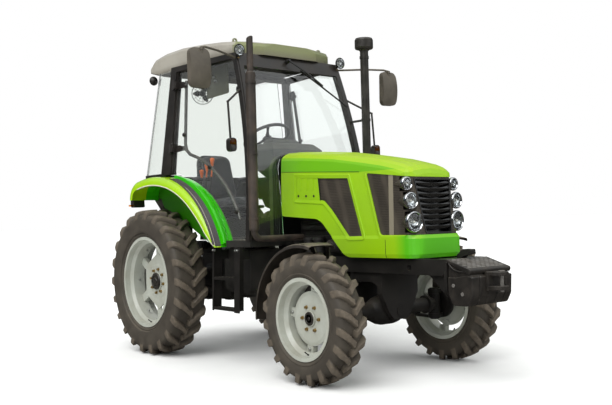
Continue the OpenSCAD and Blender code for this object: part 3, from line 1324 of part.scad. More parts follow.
module top_link() {
    color("#1c1b19") from_axle() difference() {
        union() {
            drum(-248, 745, -24, 24, 22);
            turned([-262, 0, 745], [-690, 0, 720],
                [[0, 12], [70, 12], [90, 18], [340, 18], [360, 12], [428, 12]]);
            spun([-700, -24, 720])
                polygon([[0, 0], [18, 0], [24, 6], [26, 16], [26, 32], [24, 42], [18, 48], [0, 48]]);
        }
        drum(-248, 745, -60, 60, 9.5 + fit);
        drum(-700, 720, -60, 60, 9.6);
    }
}

transmission();
rear_axle();
engine_block();
front_frame();
front_weights();
front_axle();
right_knuckle();
left_knuckle();
tie_rod();
right_mudguard();
left_mudguard();
right_rear_rim();
right_rear_tyre();
left_rear_rim();
left_rear_tyre();
right_front_rim();
right_front_tyre();
left_front_rim();
left_front_tyre();
hood_shell();
hood_grille();
hood_mesh();
headlights();
cab_frame();
cab_roof();
cab_floor();
cowl();
windscreen();
rear_window();
right_door_frame();
right_door_glass();
left_door_frame();
left_door_glass();
rear_fenders();
steps();
fuel_tank();
seat();
dashboard();
steering_wheel();
control_levers();
exhaust_stack();
intake_stack();
mirrors();
indicators();
work_lamps();
lift_arms();
lower_links();
lift_rods();
top_link();
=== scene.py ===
import json
import math

import bmesh
import bpy
import numpy as np
from mathutils import Matrix, Vector


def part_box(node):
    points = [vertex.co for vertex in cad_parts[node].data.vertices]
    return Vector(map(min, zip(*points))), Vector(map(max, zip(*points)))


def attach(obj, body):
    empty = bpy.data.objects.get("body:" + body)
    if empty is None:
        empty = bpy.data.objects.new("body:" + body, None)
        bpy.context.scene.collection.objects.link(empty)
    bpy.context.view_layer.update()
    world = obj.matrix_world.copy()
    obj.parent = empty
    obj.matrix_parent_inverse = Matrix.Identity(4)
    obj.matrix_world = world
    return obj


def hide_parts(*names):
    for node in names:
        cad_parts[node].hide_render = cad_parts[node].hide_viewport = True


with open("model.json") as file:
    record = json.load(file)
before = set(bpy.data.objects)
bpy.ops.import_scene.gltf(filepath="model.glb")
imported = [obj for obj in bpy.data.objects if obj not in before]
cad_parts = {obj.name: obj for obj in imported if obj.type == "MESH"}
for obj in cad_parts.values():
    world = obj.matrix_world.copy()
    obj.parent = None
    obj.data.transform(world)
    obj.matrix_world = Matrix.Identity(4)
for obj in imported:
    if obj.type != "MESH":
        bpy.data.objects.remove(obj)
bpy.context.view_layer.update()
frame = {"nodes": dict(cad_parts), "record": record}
nodes = frame["nodes"]
slot_of = {row["node"]: row["material_slot"] for row in frame["record"]["subparts"]}

# ------------------------------------------------------------------- camera
# The camera stands ahead of the right front wheel, level with the hood, and
# looks back along the tractor's right side.
camera_place = (5.0016, -4.0822, 1.0809)
camera_yaw, camera_pitch, camera_roll = 140.736, 1.012, -1.557
lens_widths = 819.1 / 612  # focal length in widths of the frame
yaw, pitch, roll = (math.radians(a) for a in (camera_yaw, camera_pitch, camera_roll))
forward = Vector((math.cos(pitch) * math.cos(yaw), math.cos(pitch) * math.sin(yaw), math.sin(pitch)))
level = forward.cross(Vector((0, 0, 1))).normalized()
upright = level.cross(forward)
right = level * math.cos(roll) + upright * math.sin(roll)
above = upright * math.cos(roll) - level * math.sin(roll)
camera_data = bpy.data.cameras.new("camera")
camera_data.sensor_width = 36
camera_data.lens = lens_widths * camera_data.sensor_width
camera_data.shift_x, camera_data.shift_y = 0.0005, 0.0044
camera = bpy.data.objects.new("camera", camera_data)
camera.matrix_world = Matrix.Translation(camera_place) @ Matrix((right, above, -forward)).transposed().to_4x4()
bpy.context.scene.collection.objects.link(camera)
bpy.context.scene.camera = camera


# ------------------------------------------------------------ floor and light
# A pale floor without an edge under a soft dome, with one broad light from the
# tractor's right and a weaker one from its left front.
def linear(colour):
    """One sRGB hex colour as linear red, green, blue and alpha."""
    srgb = [int(colour[k:k + 2], 16) / 255 for k in (1, 3, 5)]
    return [c / 12.92 if c <= 0.04045 else ((c + 0.055) / 1.055) ** 2.4 for c in srgb] + [1]


def add(tree, kind, inputs=None, **settings):
    """Add one shader node with its settings, and give or link its inputs."""
    made = tree.nodes.new("ShaderNode" + kind)
    for name, value in settings.items():
        setattr(made, name, value)
    for name, value in (inputs or {}).items():
        if isinstance(value, bpy.types.NodeSocket):
            tree.links.new(value, made.inputs[name])
        else:
            made.inputs[name].default_value = value
    return made


def ramp(tree, value, *stops):
    """Colour ramp over (position, hex colour) stops; gives its colour output."""
    made = add(tree, "ValToRGB", {"Fac": value})
    for k, (position, colour) in enumerate(stops):
        element = made.color_ramp.elements[k] if k < 2 else made.color_ramp.elements.new(position)
        element.position, element.color = position, linear(colour)
    return made.outputs["Color"]


def noise(tree, place, scale, detail=2.0, rough=0.5):
    """Cloudy noise, `scale` cells to a metre."""
    return add(tree, "TexNoise", {"Vector": place, "Scale": scale, "Detail": detail, "Roughness": rough}).outputs[0]


def scaled(tree, value, low, high, to_low=0.0, to_high=1.0):
    """Carry a value from one span to another and hold it inside."""
    return add(tree, "MapRange", {"Value": value, "From Min": low, "From Max": high, "To Min": to_low,
                                  "To Max": to_high}).outputs[0]


def maths(tree, operation, *values):
    """One operation on one or two values."""
    return add(tree, "Math", dict(enumerate(values)), operation=operation).outputs[0]


def coordinate(tree, vector, axis):
    """The "X", "Y" or "Z" of a vector."""
    return add(tree, "SeparateXYZ", {0: vector}).outputs[axis]


def facing(tree, axis):
    """How far the surface faces along an axis, from -1 to 1."""
    return coordinate(tree, add(tree, "NewGeometry").outputs["Normal"], axis)


def mixed(tree, share, shade, colour):
    """Carry a colour toward one hex colour by a share from 0 to 1."""
    return add(tree, "MixRGB", {"Fac": share, "Color1": shade, "Color2": linear(colour)}).outputs[0]


def empty_material(name):
    """A material with an empty node tree, and the tree."""
    material = bpy.data.materials.new(name)
    material.use_nodes = True
    material.node_tree.nodes.clear()
    return material, material.node_tree


floor_material, tree = empty_material("floor_paper")
ray = add(tree, "LightPath")
speck = noise(tree, add(tree, "TexCoord").outputs["Object"], 3.0)
paper = ramp(tree, speck, (0.3, "#f2f2f0"), (0.7, "#f6f6f4"))
matt = add(tree, "BsdfDiffuse", {"Color": paper})
ground = add(tree, "BsdfDiffuse", {"Color": linear("#45413b")})
shade = add(tree, "MixShader", {0: ray.outputs["Is Glossy Ray"], 1: matt.outputs[0], 2: ground.outputs[0]})
add(tree, "OutputMaterial", {"Surface": shade.outputs[0]})
bpy.ops.mesh.primitive_plane_add(size=400, location=(0, 0, 0))
floor = bpy.context.object
floor.name = "floor"
floor.data.materials.append(floor_material)

world = bpy.data.worlds.new("studio")
bpy.context.scene.world = world
world.use_nodes = True
tree = world.node_tree
tree.nodes.clear()
ray = add(tree, "LightPath")
height = coordinate(tree, add(tree, "TexCoord").outputs["Generated"], "Z")
dome = ramp(tree, height, (0.0, "#6f7476"), (0.12, "#b4babd"), (0.45, "#e4e8ea"), (1.0, "#ffffff"))
walls = ramp(tree, height, (0.0, "#26282a"), (0.18, "#3d4145"), (0.5, "#9aa3a8"), (1.0, "#ffffff"))
dome = add(tree, "MixRGB", {"Fac": ray.outputs["Is Glossy Ray"], "Color1": dome, "Color2": walls}).outputs[0]
seen = maths(tree, "MAXIMUM", ray.outputs["Is Camera Ray"], ray.outputs["Is Transmission Ray"])
lit = add(tree, "Background", {"Color": dome, "Strength": 0.95})
shown = add(tree, "Background", {"Color": (1, 1, 1, 1), "Strength": 1.0})
mix = add(tree, "MixShader", {0: seen, 1: lit.outputs[0], 2: shown.outputs[0]})
add(tree, "OutputWorld", {"Surface": mix.outputs[0]})

for name, direction, power, spread in (("key", (0.35, -0.75, 0.85), 2.3, 50), ("front", (1.0, 0.55, 0.7), 0.5, 60)):
    data = bpy.data.lights.new(name, "SUN")
    data.energy, data.angle = power, math.radians(spread)
    light = bpy.data.objects.new(name, data)
    light.rotation_euler = Vector(direction).to_track_quat("Z", "Y").to_euler()
    bpy.context.scene.collection.objects.link(light)
bpy.context.scene.view_settings.view_transform = "Standard"


# ------------------------------------------------------------------ finishes
# Painted, cast, moulded and woven surfaces. Sizes are real millimetres.
def finish(name, colour, worn, rough, patch=60, grain=1.0, depth=0.1, metal=0.0, coat=0.0, dust=0.0,
           tint=None, sheen=0.0):
    """A surface whose colour drifts to `worn` in patches of `patch` mm, with a grain of `grain` mm that
    stands `depth` mm proud, and `dust` on what looks up. `tint` is a function of (tree, place, colour)."""
    material, tree = empty_material(name)
    place = add(tree, "TexCoord").outputs["Object"]
    patches = noise(tree, place, 1000 / patch, 5.0, 0.6)
    shade = ramp(tree, patches, (0.38, colour), (0.72, worn))
    if tint:
        shade = tint(tree, place, shade)
    film = maths(tree, "MULTIPLY", scaled(tree, facing(tree, "Z"), 0.2, 1.0, 0.12),
                 scaled(tree, patches, 0.3, 0.75, 0.35 * dust, dust))
    shade = mixed(tree, film, shade, "#9c8f79")
    gloss = scaled(tree, patches, 0.3, 0.7, max(rough - 0.06, 0.02), min(rough + 0.1, 1))
    gloss = add(tree, "MixRGB", {"Fac": film, "Color1": gloss, "Color2": (0.8,) * 3 + (1,)})
    bump = add(tree, "Bump", {"Strength": 0.6, "Distance": depth / 1000, "Height": noise(tree, place, 1000 / grain)})
    shader = add(tree, "BsdfPrincipled", {
        "Base Color": shade, "Roughness": gloss.outputs[0], "Metallic": metal, "Coat Weight": coat,
        "Coat Roughness": 0.06, "Sheen Weight": sheen, "Normal": bump.outputs[0]})
    add(tree, "OutputMaterial", {"Surface": shader.outputs[0]})
    return material


def clear(name, colour, rough=0.0):
    """Toughened or moulded clear material that lets light through to what is behind it."""
    material, tree = empty_material(name)
    place = add(tree, "TexCoord").outputs["Object"]
    film = scaled(tree, noise(tree, place, 14.0, 4.0), 0.4, 0.8, rough, rough + 0.05)
    body = add(tree, "BsdfPrincipled", {"Base Color": linear(colour), "Roughness": film,
                                        "Transmission Weight": 1.0, "IOR": 1.45})
    through = add(tree, "BsdfTransparent", {"Color": linear(colour)})
    ray = add(tree, "LightPath")
    shader = add(tree, "MixShader", {0: ray.outputs["Is Shadow Ray"], 1: body.outputs[0], 2: through.outputs[0]})
    add(tree, "OutputMaterial", {"Surface": shader.outputs[0]})
    return material


# millimetres from under the rear axle to the row frame's metres
axle = (np.array(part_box("right_rear_tyre")[0]) + np.array(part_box("right_rear_tyre")[1])) / 2


X, Y, Z = (1, 0, 0), (0, 1, 0), (0, 0, 1)  # ahead, left and up
hands = ((-1, "right"), (1, "left"))


def at(x, y, z):
    """Points given in millimetres ahead of the rear axle, left of the middle and above the ground."""
    x, y, z = np.broadcast_arrays(*(np.asarray(a, float) for a in (x, y, z)))
    return np.stack([axle[0] + x / 1000, y / 1000, z / 1000], -1)


# ---------------------------------------------------------- wheels and tyres
# Agricultural tyres with bar lugs on pressed steel rims. Each tyre is one
# moulded rubber skin, and the disc is held by plated bolts round the hub.
def piece(name, parts, finishes_used, body, sharp=35, stands_for=(), layer=None):
    """One object made of (points, faces) or (points, faces, finish number) parts, riding on a body.
    `layer` is a name and one number a point that the finish may read."""
    points, faces, kinds, start = [], [], [], 0
    for part in parts:
        cloud = np.asarray(part[0], float).reshape(-1, 3)
        points.append(cloud)
        faces += [[int(k) + start for k in face] for face in part[1]]
        kinds += [part[2] if len(part) > 2 else 0] * len(part[1])
        start += len(cloud)
    mesh = bpy.data.meshes.new(name)
    mesh.from_pydata(np.concatenate(points).tolist(), [], faces)
    mesh.polygons.foreach_set("material_index", kinds)
    if layer:
        mesh.attributes.new(layer[0], "FLOAT", "POINT").data.foreach_set("value", layer[1].astype(np.float32))
    used = finishes_used if isinstance(finishes_used, (list, tuple)) else [finishes_used]
    for one in used:
        mesh.materials.append(one)
    weld = 1e-6  # metres
    work = bmesh.new()
    work.from_mesh(mesh)
    bmesh.ops.remove_doubles(work, verts=work.verts, dist=weld)
    bmesh.ops.dissolve_degenerate(work, edges=work.edges, dist=weld)
    bmesh.ops.recalc_face_normals(work, faces=work.faces)
    work.to_mesh(mesh)
    work.free()
    mesh.shade_smooth()
    mesh.set_sharp_from_angle(angle=math.radians(sharp))
    made = bpy.data.objects.new(name, mesh)
    bpy.context.scene.collection.objects.link(made)
    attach(made, body)
    if stands_for:
        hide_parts(*stands_for)
    return made


def grid(points, wrap_rows=False, wrap_columns=False):
    """Faces of a surface given as rows by columns of points, closed round either way if asked."""
    rows, columns = points.shape[:2]
    i = np.arange(rows if wrap_rows else rows - 1)[:, None]
    j = np.arange(columns if wrap_columns else columns - 1)[None]
    i2, j2 = (i + 1) % rows, (j + 1) % columns
    quads = np.stack([i * columns + j, i * columns + j2, i2 * columns + j2, i2 * columns + j], -1)
    return points, quads.reshape(-1, 4).tolist()


def axes(direction):
    """A direction as a unit vector, and two more square to it."""
    direction = np.asarray(direction, float) / np.linalg.norm(direction)
    first = np.cross(direction, (0, 0, 1) if abs(direction[2]) < 0.9 else (1, 0, 0))
    first /= np.linalg.norm(first)
    return direction, first, np.cross(direction, first)


def turned(profile, origin, direction, steps=32):
    """Lathe a profile of (radius, distance along) in millimetres about a line from a point in metres."""
    along, first, second = axes(direction)
    angle = np.linspace(0, 2 * np.pi, steps, endpoint=False)[None, :, None]
    radius, run = (np.array(profile, float)[:, k][:, None, None] / 1000 for k in (0, 1))
    return grid(np.asarray(origin) + run * along + radius * (np.cos(angle) * first + np.sin(angle) * second),
                wrap_columns=True)


def swept(section, path, closed=False, turn=None):
    """Carry a closed section of (sideways, upward) millimetres along a path in metres, with flat ends.
    `turn` gives the upward direction; without it the section keeps its roll along the path."""
    path = np.asarray(path, float)
    ahead = np.gradient(path, axis=0) if not closed else np.roll(path, -1, 0) - np.roll(path, 1, 0)
    ahead /= np.linalg.norm(ahead, axis=1)[:, None]
    up = np.empty_like(path)
    last = np.asarray(turn, float) if turn is not None else axes(ahead[0])[1]
    for k, tangent in enumerate(ahead):
        base = last if turn is None else np.asarray(turn, float)
        flat = base - tangent * (base @ tangent)
        up[k] = last = flat / np.linalg.norm(flat)
    side = np.cross(ahead, up)
    section = np.asarray(section, float) / 1000
    points = path[:, None] + section[None, :, :1] * side[:, None] + section[None, :, 1:] * up[:, None]
    cloud, faces = grid(points, wrap_rows=closed, wrap_columns=True)
    if not closed:
        count = len(section)
        faces += [list(range(count)), list(range((len(path) - 1) * count, len(path) * count))]
    return cloud, faces


def round_section(radius, steps=12):
    """Section of a round bar."""
    angle = np.linspace(0, 2 * np.pi, steps, endpoint=False)
    return np.stack([radius * np.cos(angle), radius * np.sin(angle)], -1)


def bar_section(width, height, radius=1.5):
    """Section of a flat bar with rounded corners."""
    quarter = np.linspace(0, np.pi / 2, 3)
    corners = [(width / 2 - radius, height / 2 - radius, 0), (radius - width / 2, height / 2 - radius, 1),
               (radius - width / 2, radius - height / 2, 2), (width / 2 - radius, radius - height / 2, 3)]
    return np.array([[x + radius * math.cos(a + q * np.pi / 2), y + radius * math.sin(a + q * np.pi / 2)]
                     for x, y, q in corners for a in quarter])


def smooth_path(points, count=40):
    """Points along a smooth curve through the given ones, in metres, by Catmull and Rom's rule."""
    points = np.asarray(points, float)
    ends = np.vstack([2 * points[0] - points[1], points, 2 * points[-1] - points[-2]])
    where = np.linspace(0, len(points) - 1, count)
    k = np.minimum(where.astype(int), len(points) - 2)
    t = (where - k)[:, None]
    a, b, c, d = ends[k], ends[k + 1], ends[k + 2], ends[k + 3]
    return 0.5 * (2 * b + (c - a) * t + (2 * a - 5 * b + 4 * c - d) * t ** 2 + (3 * b - a - 3 * c + d) * t ** 3)


def placed(outline, origin, across, upward, lift):
    """An outline in millimetres on two directions at a point in metres, `lift` mm off their plane."""
    return np.asarray(origin) + (outline @ np.stack([across, upward]) + np.cross(across, upward) * lift) / 1000


def slab(outline, origin, across, upward, thickness, bevel=1.0):
    """Plate with bevelled edges: an outline in millimetres on two directions, centred on its thickness."""
    across, upward = (np.asarray(a, float) / np.linalg.norm(a) for a in (across, upward))
    outline = np.asarray(outline, float)
    if np.sum(outline[:, 0] * np.roll(outline[:, 1], -1) - np.roll(outline[:, 0], -1) * outline[:, 1]) < 0:
        outline = outline[::-1]
    edge = np.roll(outline, -1, 0) - outline
    edge /= np.maximum(np.linalg.norm(edge, axis=1), 1e-9)[:, None]
    inward = np.stack([-edge[:, 1], edge[:, 0]], -1)
    inward = inward + np.roll(inward, 1, 0)
    inward /= np.maximum(np.sum(inward ** 2, 1), 0.5)[:, None] / 2
    half = thickness / 2
    rings = [(1, -half), (0, bevel - half), (0, half - bevel), (1, half)]
    cloud, faces = grid(np.stack([placed(outline + inward * bevel * inset, origin, across, upward, lift)
                                  for inset, lift in rings]), wrap_columns=True)
    count = len(outline)
    return cloud, faces + [list(range(count)), list(range(3 * count, 4 * count))]


def rounded(points, radius, steps=4):
    """Closed outline with every corner rounded to a radius, both in millimetres."""
    points, made = np.asarray(points, float), []
    radii = np.broadcast_to(radius, len(points))
    for before, corner, after, r in zip(np.roll(points, 1, 0), points, np.roll(points, -1, 0), radii):
        u, v = (before - corner), (after - corner)
        u, v = u / np.linalg.norm(u), v / np.linalg.norm(v)
        reach = r / max(math.tan(math.acos(max(-1, min(1, u @ v))) / 2), 1e-6)
        t = np.linspace(0, 1, steps)[:, None]
        made.append((1 - t) ** 2 * (corner + u * reach) + 2 * t * (1 - t) * corner + t ** 2 * (corner + v * reach))
    return np.concatenate(made)


def oblong(half_width, half_height, radius, steps=4):
    """Rectangle with rounded corners, about its middle."""
    return rounded([(-half_width, -half_height), (half_width, -half_height), (half_width, half_height),
                    (-half_width, half_height)], radius, steps)


def box_part(low, high, bevel=2.0):
    """Bevelled block between two corners given in millimetres by at()'s measure."""
    low, high = np.asarray(low, float), np.asarray(high, float)
    half = (high - low) / 2
    outline = oblong(half[0], half[1], min(bevel * 1.5, half[0] * 0.9, half[1] * 0.9), 3)
    return slab(outline, at(*((low + high) / 2)), X, Y, 2 * half[2], bevel)


def bolts(places, direction, size=17, height=10, washer=True):
    """Hexagon bolt heads of `size` mm over their flats, with washers, standing on points in metres."""
    parts = []
    along, first, second = axes(direction)
    for k, place in enumerate(places):
        angle = np.arange(6) * np.pi / 3 + k * 0.7
        corner = size / math.sqrt(3)
        lift = 2.2 if washer else 0
        rings = np.array([(corner, lift), (corner, lift + height * 0.82), (corner * 0.86, lift + height),
                          (0, lift + height)]) / 1000
        points = np.asarray(place) + rings[:, 1][:, None, None] * along + rings[:, 0][:, None, None] * (
            np.cos(angle)[None, :, None] * first + np.sin(angle)[None, :, None] * second)
        parts.append(grid(points, wrap_columns=True))
        if washer:
            parts.append(turned([(0, 0), (corner * 1.22, 0), (corner * 1.22, 1.8), (corner * 1.1, 2.4),
                                 (0, 2.4)], place, direction, 20))
    return parts


def tyre_skin(centre, side, radius, width, rim_radius, rim_width, lugs, lug_height, lug_width):
    """Tyre with its lugs as one surface of angle round the wheel by position across the section.
    Grid columns follow the lugs, which lag behind the middle by a curve of the distance across, so every
    lug edge lies on a grid line. A point is the carcass plus the lug's trapezoid times the way to the lug's
    own outer profile, and the lugs of the two halves are half a pitch apart."""
    bead, flange, half = rim_radius - 18, rim_width / 2, width / 2
    wall = [(rim_radius + out, flange + over) for out, over in (
        (-17, -6.6), (2, -6.6), (9, -3), (14, 2), (19, 5), (22, 6.5), (26, 6.5), (29, 4))]
    wall += [(rim_radius + out, half - under) for out, under in ((36, 6), (46, 3), (58, 1))]
    if radius - 92 > rim_radius + 60:
        wall.append((radius - 92, half - 1))
    # carcass and lug side by side: below the lug tops, in from the widest place
    shoulder = np.array([(84, 1.5, 84, 1.5), (76, 3, 75, 0.6), (62, 7, 56, 1), (50, 13, 36, 3.5), (42, 21, 18, 9),
                         (37, 33, 9, 19), (34, 50, 4.5, 44)])
    crown = np.array([(32.5, 0.42, 2, 0.42), (32, 0.2, 0.5, 0.2), (32, 12 / half, 0, 12 / half),
                      (32, 4 / half, 0, 4 / half)])
    table_height = 32  # lug height that the two tables are drawn for
    drop = table_height - lug_height
    base = np.vstack([wall, np.stack([radius - shoulder[:, 0] + drop, half - shoulder[:, 1]], -1),
                      np.stack([radius - crown[:, 0] + drop, crown[:, 1] * half], -1)])
    lug = np.vstack([wall, np.stack([radius - shoulder[:, 2], half - shoulder[:, 3]], -1),
                     np.stack([radius - crown[:, 2], crown[:, 3] * half], -1)])
    inner = [(bead - 1, flange - 38), (rim_radius + 8, flange - 50), (radius - 66, half - 52)]
    inner = np.array([(r, -across) for r, across in inner] + [(radius - 58, 0)] + inner[::-1])
    base, lug = (np.vstack([p, p[::-1] * (1, -1), inner]) for p in (base, lug))
    across = base[:, 1]
    reach = np.clip((np.abs(across) - 4) / (half - 4), 0, 1)
    below = np.clip((radius - 30 - base[:, 0]) / 60, 0, 1)
    lag = (0.45 * width * reach ** 0.9 - 0.06 * width * reach ** 3 + 8 * below) / radius
    lag[:len(wall)] = lag[len(wall)]
    lag[-len(inner) - len(wall):] = lag[len(wall)]
    pitch = 2 * np.pi / lugs
    top = lug_width / radius * (1 + 0.25 * reach)
    columns = [((k + odd / 2) * pitch + top * step + foot / radius, odd, rise)
               for k in range(lugs) for odd in (0, 1)
               for step, foot, rise in ((-0.5, -9, 0), (-0.5, 0, 0.9), (-0.42, 0, 1), (0.42, 0, 1), (0.5, 0, 0.9),
                                        (0.5, 9, 0))]
    angle = np.stack([c[0] for c in columns]) - lag
    odd, rise = (np.array([c[k] for c in columns])[:, None] for k in (1, 2))
    raised = rise * np.where(odd == 0, across > -9, across < 9)
    spot = base + raised[..., None] * (lug - base)
    points = np.stack([spot[..., 0] * np.sin(angle), spot[..., 1] * side, spot[..., 0] * np.cos(angle)], -1)
    on_lug = raised * (np.abs(lug - base).sum(1) > 2)
    return grid(points / 1000 + centre, wrap_rows=True, wrap_columns=True), on_lug.reshape(-1)


def rubber_tint(tree, place, shade):
    """Lug faces are scuffed lighter and browner than the carcass between them."""
    worn = add(tree, "Attribute", attribute_name="lug").outputs["Fac"]
    scuff = scaled(tree, noise(tree, place, 38.0, 4.0), 0.3, 0.7, 0.35, 0.85)
    return mixed(tree, maths(tree, "MULTIPLY", worn, scuff), shade, "#63584a")


# vulcanised rubber, dusty brown over black
tyre_rubber = finish("tyre_rubber", "#39332b", "#463f35", 0.66, patch=120, grain=1.6, depth=0.12, dust=0.2,
                     tint=rubber_tint)
# baked enamel on the pressed steel rims
rim_enamel = finish("rim_enamel", "#a9aca2", "#9c9c90", 0.34, patch=150, grain=0.9, depth=0.02, coat=0.25,
                    dust=0.12)
# yellow-passivated zinc plate on the wheel bolts
yellow_zinc = finish("yellow_zinc_plate", "#a98c58", "#86704a", 0.34, patch=12, grain=0.5, depth=0.02, metal=0.8)
# bright zinc plate on screws, frame and lug bolts and the fan guard
bright_zinc = finish("bright_zinc_plate", "#b9bab6", "#8d8e8a", 0.3, patch=15, grain=0.5, depth=0.02, metal=0.9)
# black enamel on the hub castings
hub_enamel = finish("hub_enamel_black", "#1c1a18", "#2a2622", 0.4, patch=40, grain=1.5, depth=0.2, dust=0.2)


def ring(centre, side, count, radius, outward, first=0.0):
    """Points evenly round a wheel's axis, `radius` mm from it and `outward` mm from the wheel's middle."""
    turns = [first + 2 * math.pi * k / count for k in range(count)]
    return [centre + np.array((radius * math.sin(a), side * outward, radius * math.cos(a))) / 1000 for a in turns]


for place in ("right_rear", "left_rear", "right_front", "left_front"):
    low, high = (np.array(corner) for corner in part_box(place + "_tyre"))
    centre, side = (low + high) / 2, -1 if place.startswith("right") else 1
    radius, width = (high[2] - low[2]) * 500, (high[1] - low[1]) * 1000
    rear, body = place.endswith("rear"), place + "_wheel"
    rim_radius, rim_width = (374, 234) if rear else (272, 188)
    skin, on_lug = tyre_skin(centre, side, radius, width, rim_radius, rim_width,
                             22 if rear else 20, 34 if rear else 32, 42 if rear else 38)
    piece(place + "_tyre_rubber", [skin], tyre_rubber, body, 40, [place + "_tyre"],
          layer=("lug", on_lug))
    out = np.array((0, side, 0.0))
    if rear:
        # bolts through the hub flange, the lug bolts near the rim, and the hub's end cap
        heads = bolts(ring(centre, side, 8, 100, -3, 0.2), out, 19, 15)
        lugs = bolts(ring(centre, side, 6, 296, 1, math.pi / 6), out, 18, 9)
        cap = [turned([(72, 4), (72, 15), (66, 22), (46, 26), (44, 22), (30, 22), (26, 27), (0, 28)],
                      centre, out, 40)]
        cap += bolts(ring(centre, side, 4, 56, 24, 0.4), out, 10, 5, False)
    else:
        heads = bolts(ring(centre, side, 6, 83, 13, math.pi / 6), out, 18, 14)
        lugs = bolts(ring(centre, side, 4, 205, 2, math.radians(8)), out, 18, 9)
        cap = [turned([(47, 13), (47, 27), (43, 32), (30, 34), (28, 31), (12, 31), (10, 34), (0, 34)],
                      centre, out, 40)]
    piece(place + "_wheel_bolts", heads, yellow_zinc, body)
    piece(place + "_lug_bolts", lugs, bright_zinc, body)
    piece(place + "_hub_cap", cap, hub_enamel, body)
    # valve with its cap
    valve_at = centre + np.array((0.0, side * (rim_width / 2 - 58), -(rim_radius - 34))) / 1000
    valve = [turned([(6, 0), (6, 12), (4, 14), (4, 34), (4.8, 34), (4.8, 44), (0, 45)], valve_at,
                    (0, side * 0.8, 0.6), 12)]
    piece(place + "_valve", valve, hub_enamel, body)


# ------------------------------------------------------------ frame and engine
# Ladder frame, castings and sheet steel under the hood, sprayed black and bolted
# together, with moulded mudguards over the front wheels.
def dress(slot, material):
    """Give a finish to every CAD node of one of the record's slots."""
    for name, one in nodes.items():
        if slot_of[name] == slot:
            one.data.materials.clear()
            one.data.materials.append(material)


# sprayed chassis enamel
dress("frame_black", finish("chassis_enamel_black", "#121110", "#1b1816", 0.44, patch=120, grain=1.4,
                            depth=0.08, dust=0.12))
# painted grey iron castings
dress("engine_black", finish("cast_iron_black", "#11100f", "#1d1a17", 0.55, patch=70, grain=1.8,
                             depth=0.35, dust=0.14))
# polypropylene mudguards, dusty on top
dress("guard_black", finish("mudguard_polypropylene", "#211d1a", "#332c25", 0.5, patch=90, grain=1.2,
                            depth=0.12, dust=0.5))
dress("rim_grey", rim_enamel)

# ---------------------------------------------------------------------- hood
# Pressed steel hood in lime enamel, hinged at its rear. Expanded mesh closes its
# windows, and stacked lamps stand on pods beside the slatted grille.
hood_rear_x, nose_x, lip_x, hood_top_z = 1205.0, 2530.0, 2470.0, 1608


def hood_half_width(x, z):
    """How far the hood's side stands from the middle at x and z, in millimetres: the nearer of the leaning
    wall and the crown's section, which widens with the depth below the top line."""
    heights = [700, 812, 838, 940, 962, 1366, 1720]
    inset = np.interp(z, heights, [9, 9, 0, 0, 8, 12, 24])
    wall = np.interp(x, [1145, 2442], [304, 240]) - inset
    share = (x - hood_rear_x) / (lip_x - hood_rear_x)
    drop = np.interp(share, [-0.05, 0.154, 0.325, 0.431, 0.636, 0.794, 0.913, 0.962, 0.99, 1, 1.1],
                     [-0.02, 0.054, 0.137, 0.192, 0.36, 0.504, 0.654, 0.75, 0.87, 1, 1.2])
    top = hood_top_z - drop * 240
    crown = np.interp(top - z, [0, 6, 9, 16, 31, 56, 90, 150], [0, 0.385, 0.4, 0.66, 0.8, 0.9, 0.955, 1.14])
    nose = nose_x - np.interp(z, heights, [12, 12, 0, 0, 11, 60, 90])
    corner = 88
    bend = np.clip((x - (nose - corner)) / corner, 0, 1)
    return np.minimum(wall - corner + corner * np.sqrt(1 - bend ** 2), crown * (304 - share * 64))


def along_hood(points, steps, side):
    """Strip that follows a line of (x, z) on the hood's side; steps are (offset to the line's left, height
    over the skin) in millimetres."""
    points = np.asarray(points, float)
    ahead = np.gradient(points, axis=0)
    ahead /= np.maximum(np.linalg.norm(ahead, axis=1), 1e-9)[:, None]
    left = np.stack([-ahead[:, 1], ahead[:, 0]], -1)
    rows = []
    for offset, height in steps:
        spot = points + left * offset
        rows.append(at(spot[:, 0], side * (hood_half_width(spot[:, 0], spot[:, 1]) + height), spot[:, 1]))
    return np.stack(rows, 1)


def closed_line(points):
    """A line that ends on its own second point, so that a strip along it meets itself."""
    return np.vstack([points, points[:1], points[1:2]])


def dense(points):
    """More points along a polyline, about 12 mm apart."""
    points = np.asarray(points, float)
    run = np.concatenate([[0], np.cumsum(np.linalg.norm(np.diff(points, axis=0), axis=1))])
    where = np.linspace(0, run[-1], max(2, int(run[-1] / 12)))
    return np.stack([np.interp(where, run, points[:, k]) for k in range(points.shape[1])], -1)


def lime_painted_light_and_shade(tree, place, shade):
    """Painted light and shade on the enamel: yellower where it looks up, greener under the crown's crease and round
    the nose.
    """
    x, z = coordinate(tree, place, "X"), coordinate(tree, place, "Z")
    crease = scaled(tree, x, 0.06, 0.9, 1.448, 1.398)
    nose = maths(tree, "MULTIPLY", scaled(tree, x, 1.21, 1.31), maths(tree, "LESS_THAN", z, 1.0))
    # painted shade: greener above the crease line and round the nose
    shade = mixed(tree, maths(tree, "GREATER_THAN", z, crease), shade, "#66ac00")
    shade = mixed(tree, nose, shade, "#4fae00")
    # painted light: yellower where the surface looks up
    return mixed(tree, scaled(tree, facing(tree, "Z"), 0.35, 0.8), shade, "#9bbd00")


# two-pack acrylic enamel under a clear coat, with painted light on its top and painted shade below the crease and
# round the nose
lime_enamel = finish("lime_enamel", "#8dbb00", "#84b000", 0.4, patch=400, depth=0.01, coat=0.05, tint=lime_painted_light_and_shade)
dress("lime_paint", lime_enamel)
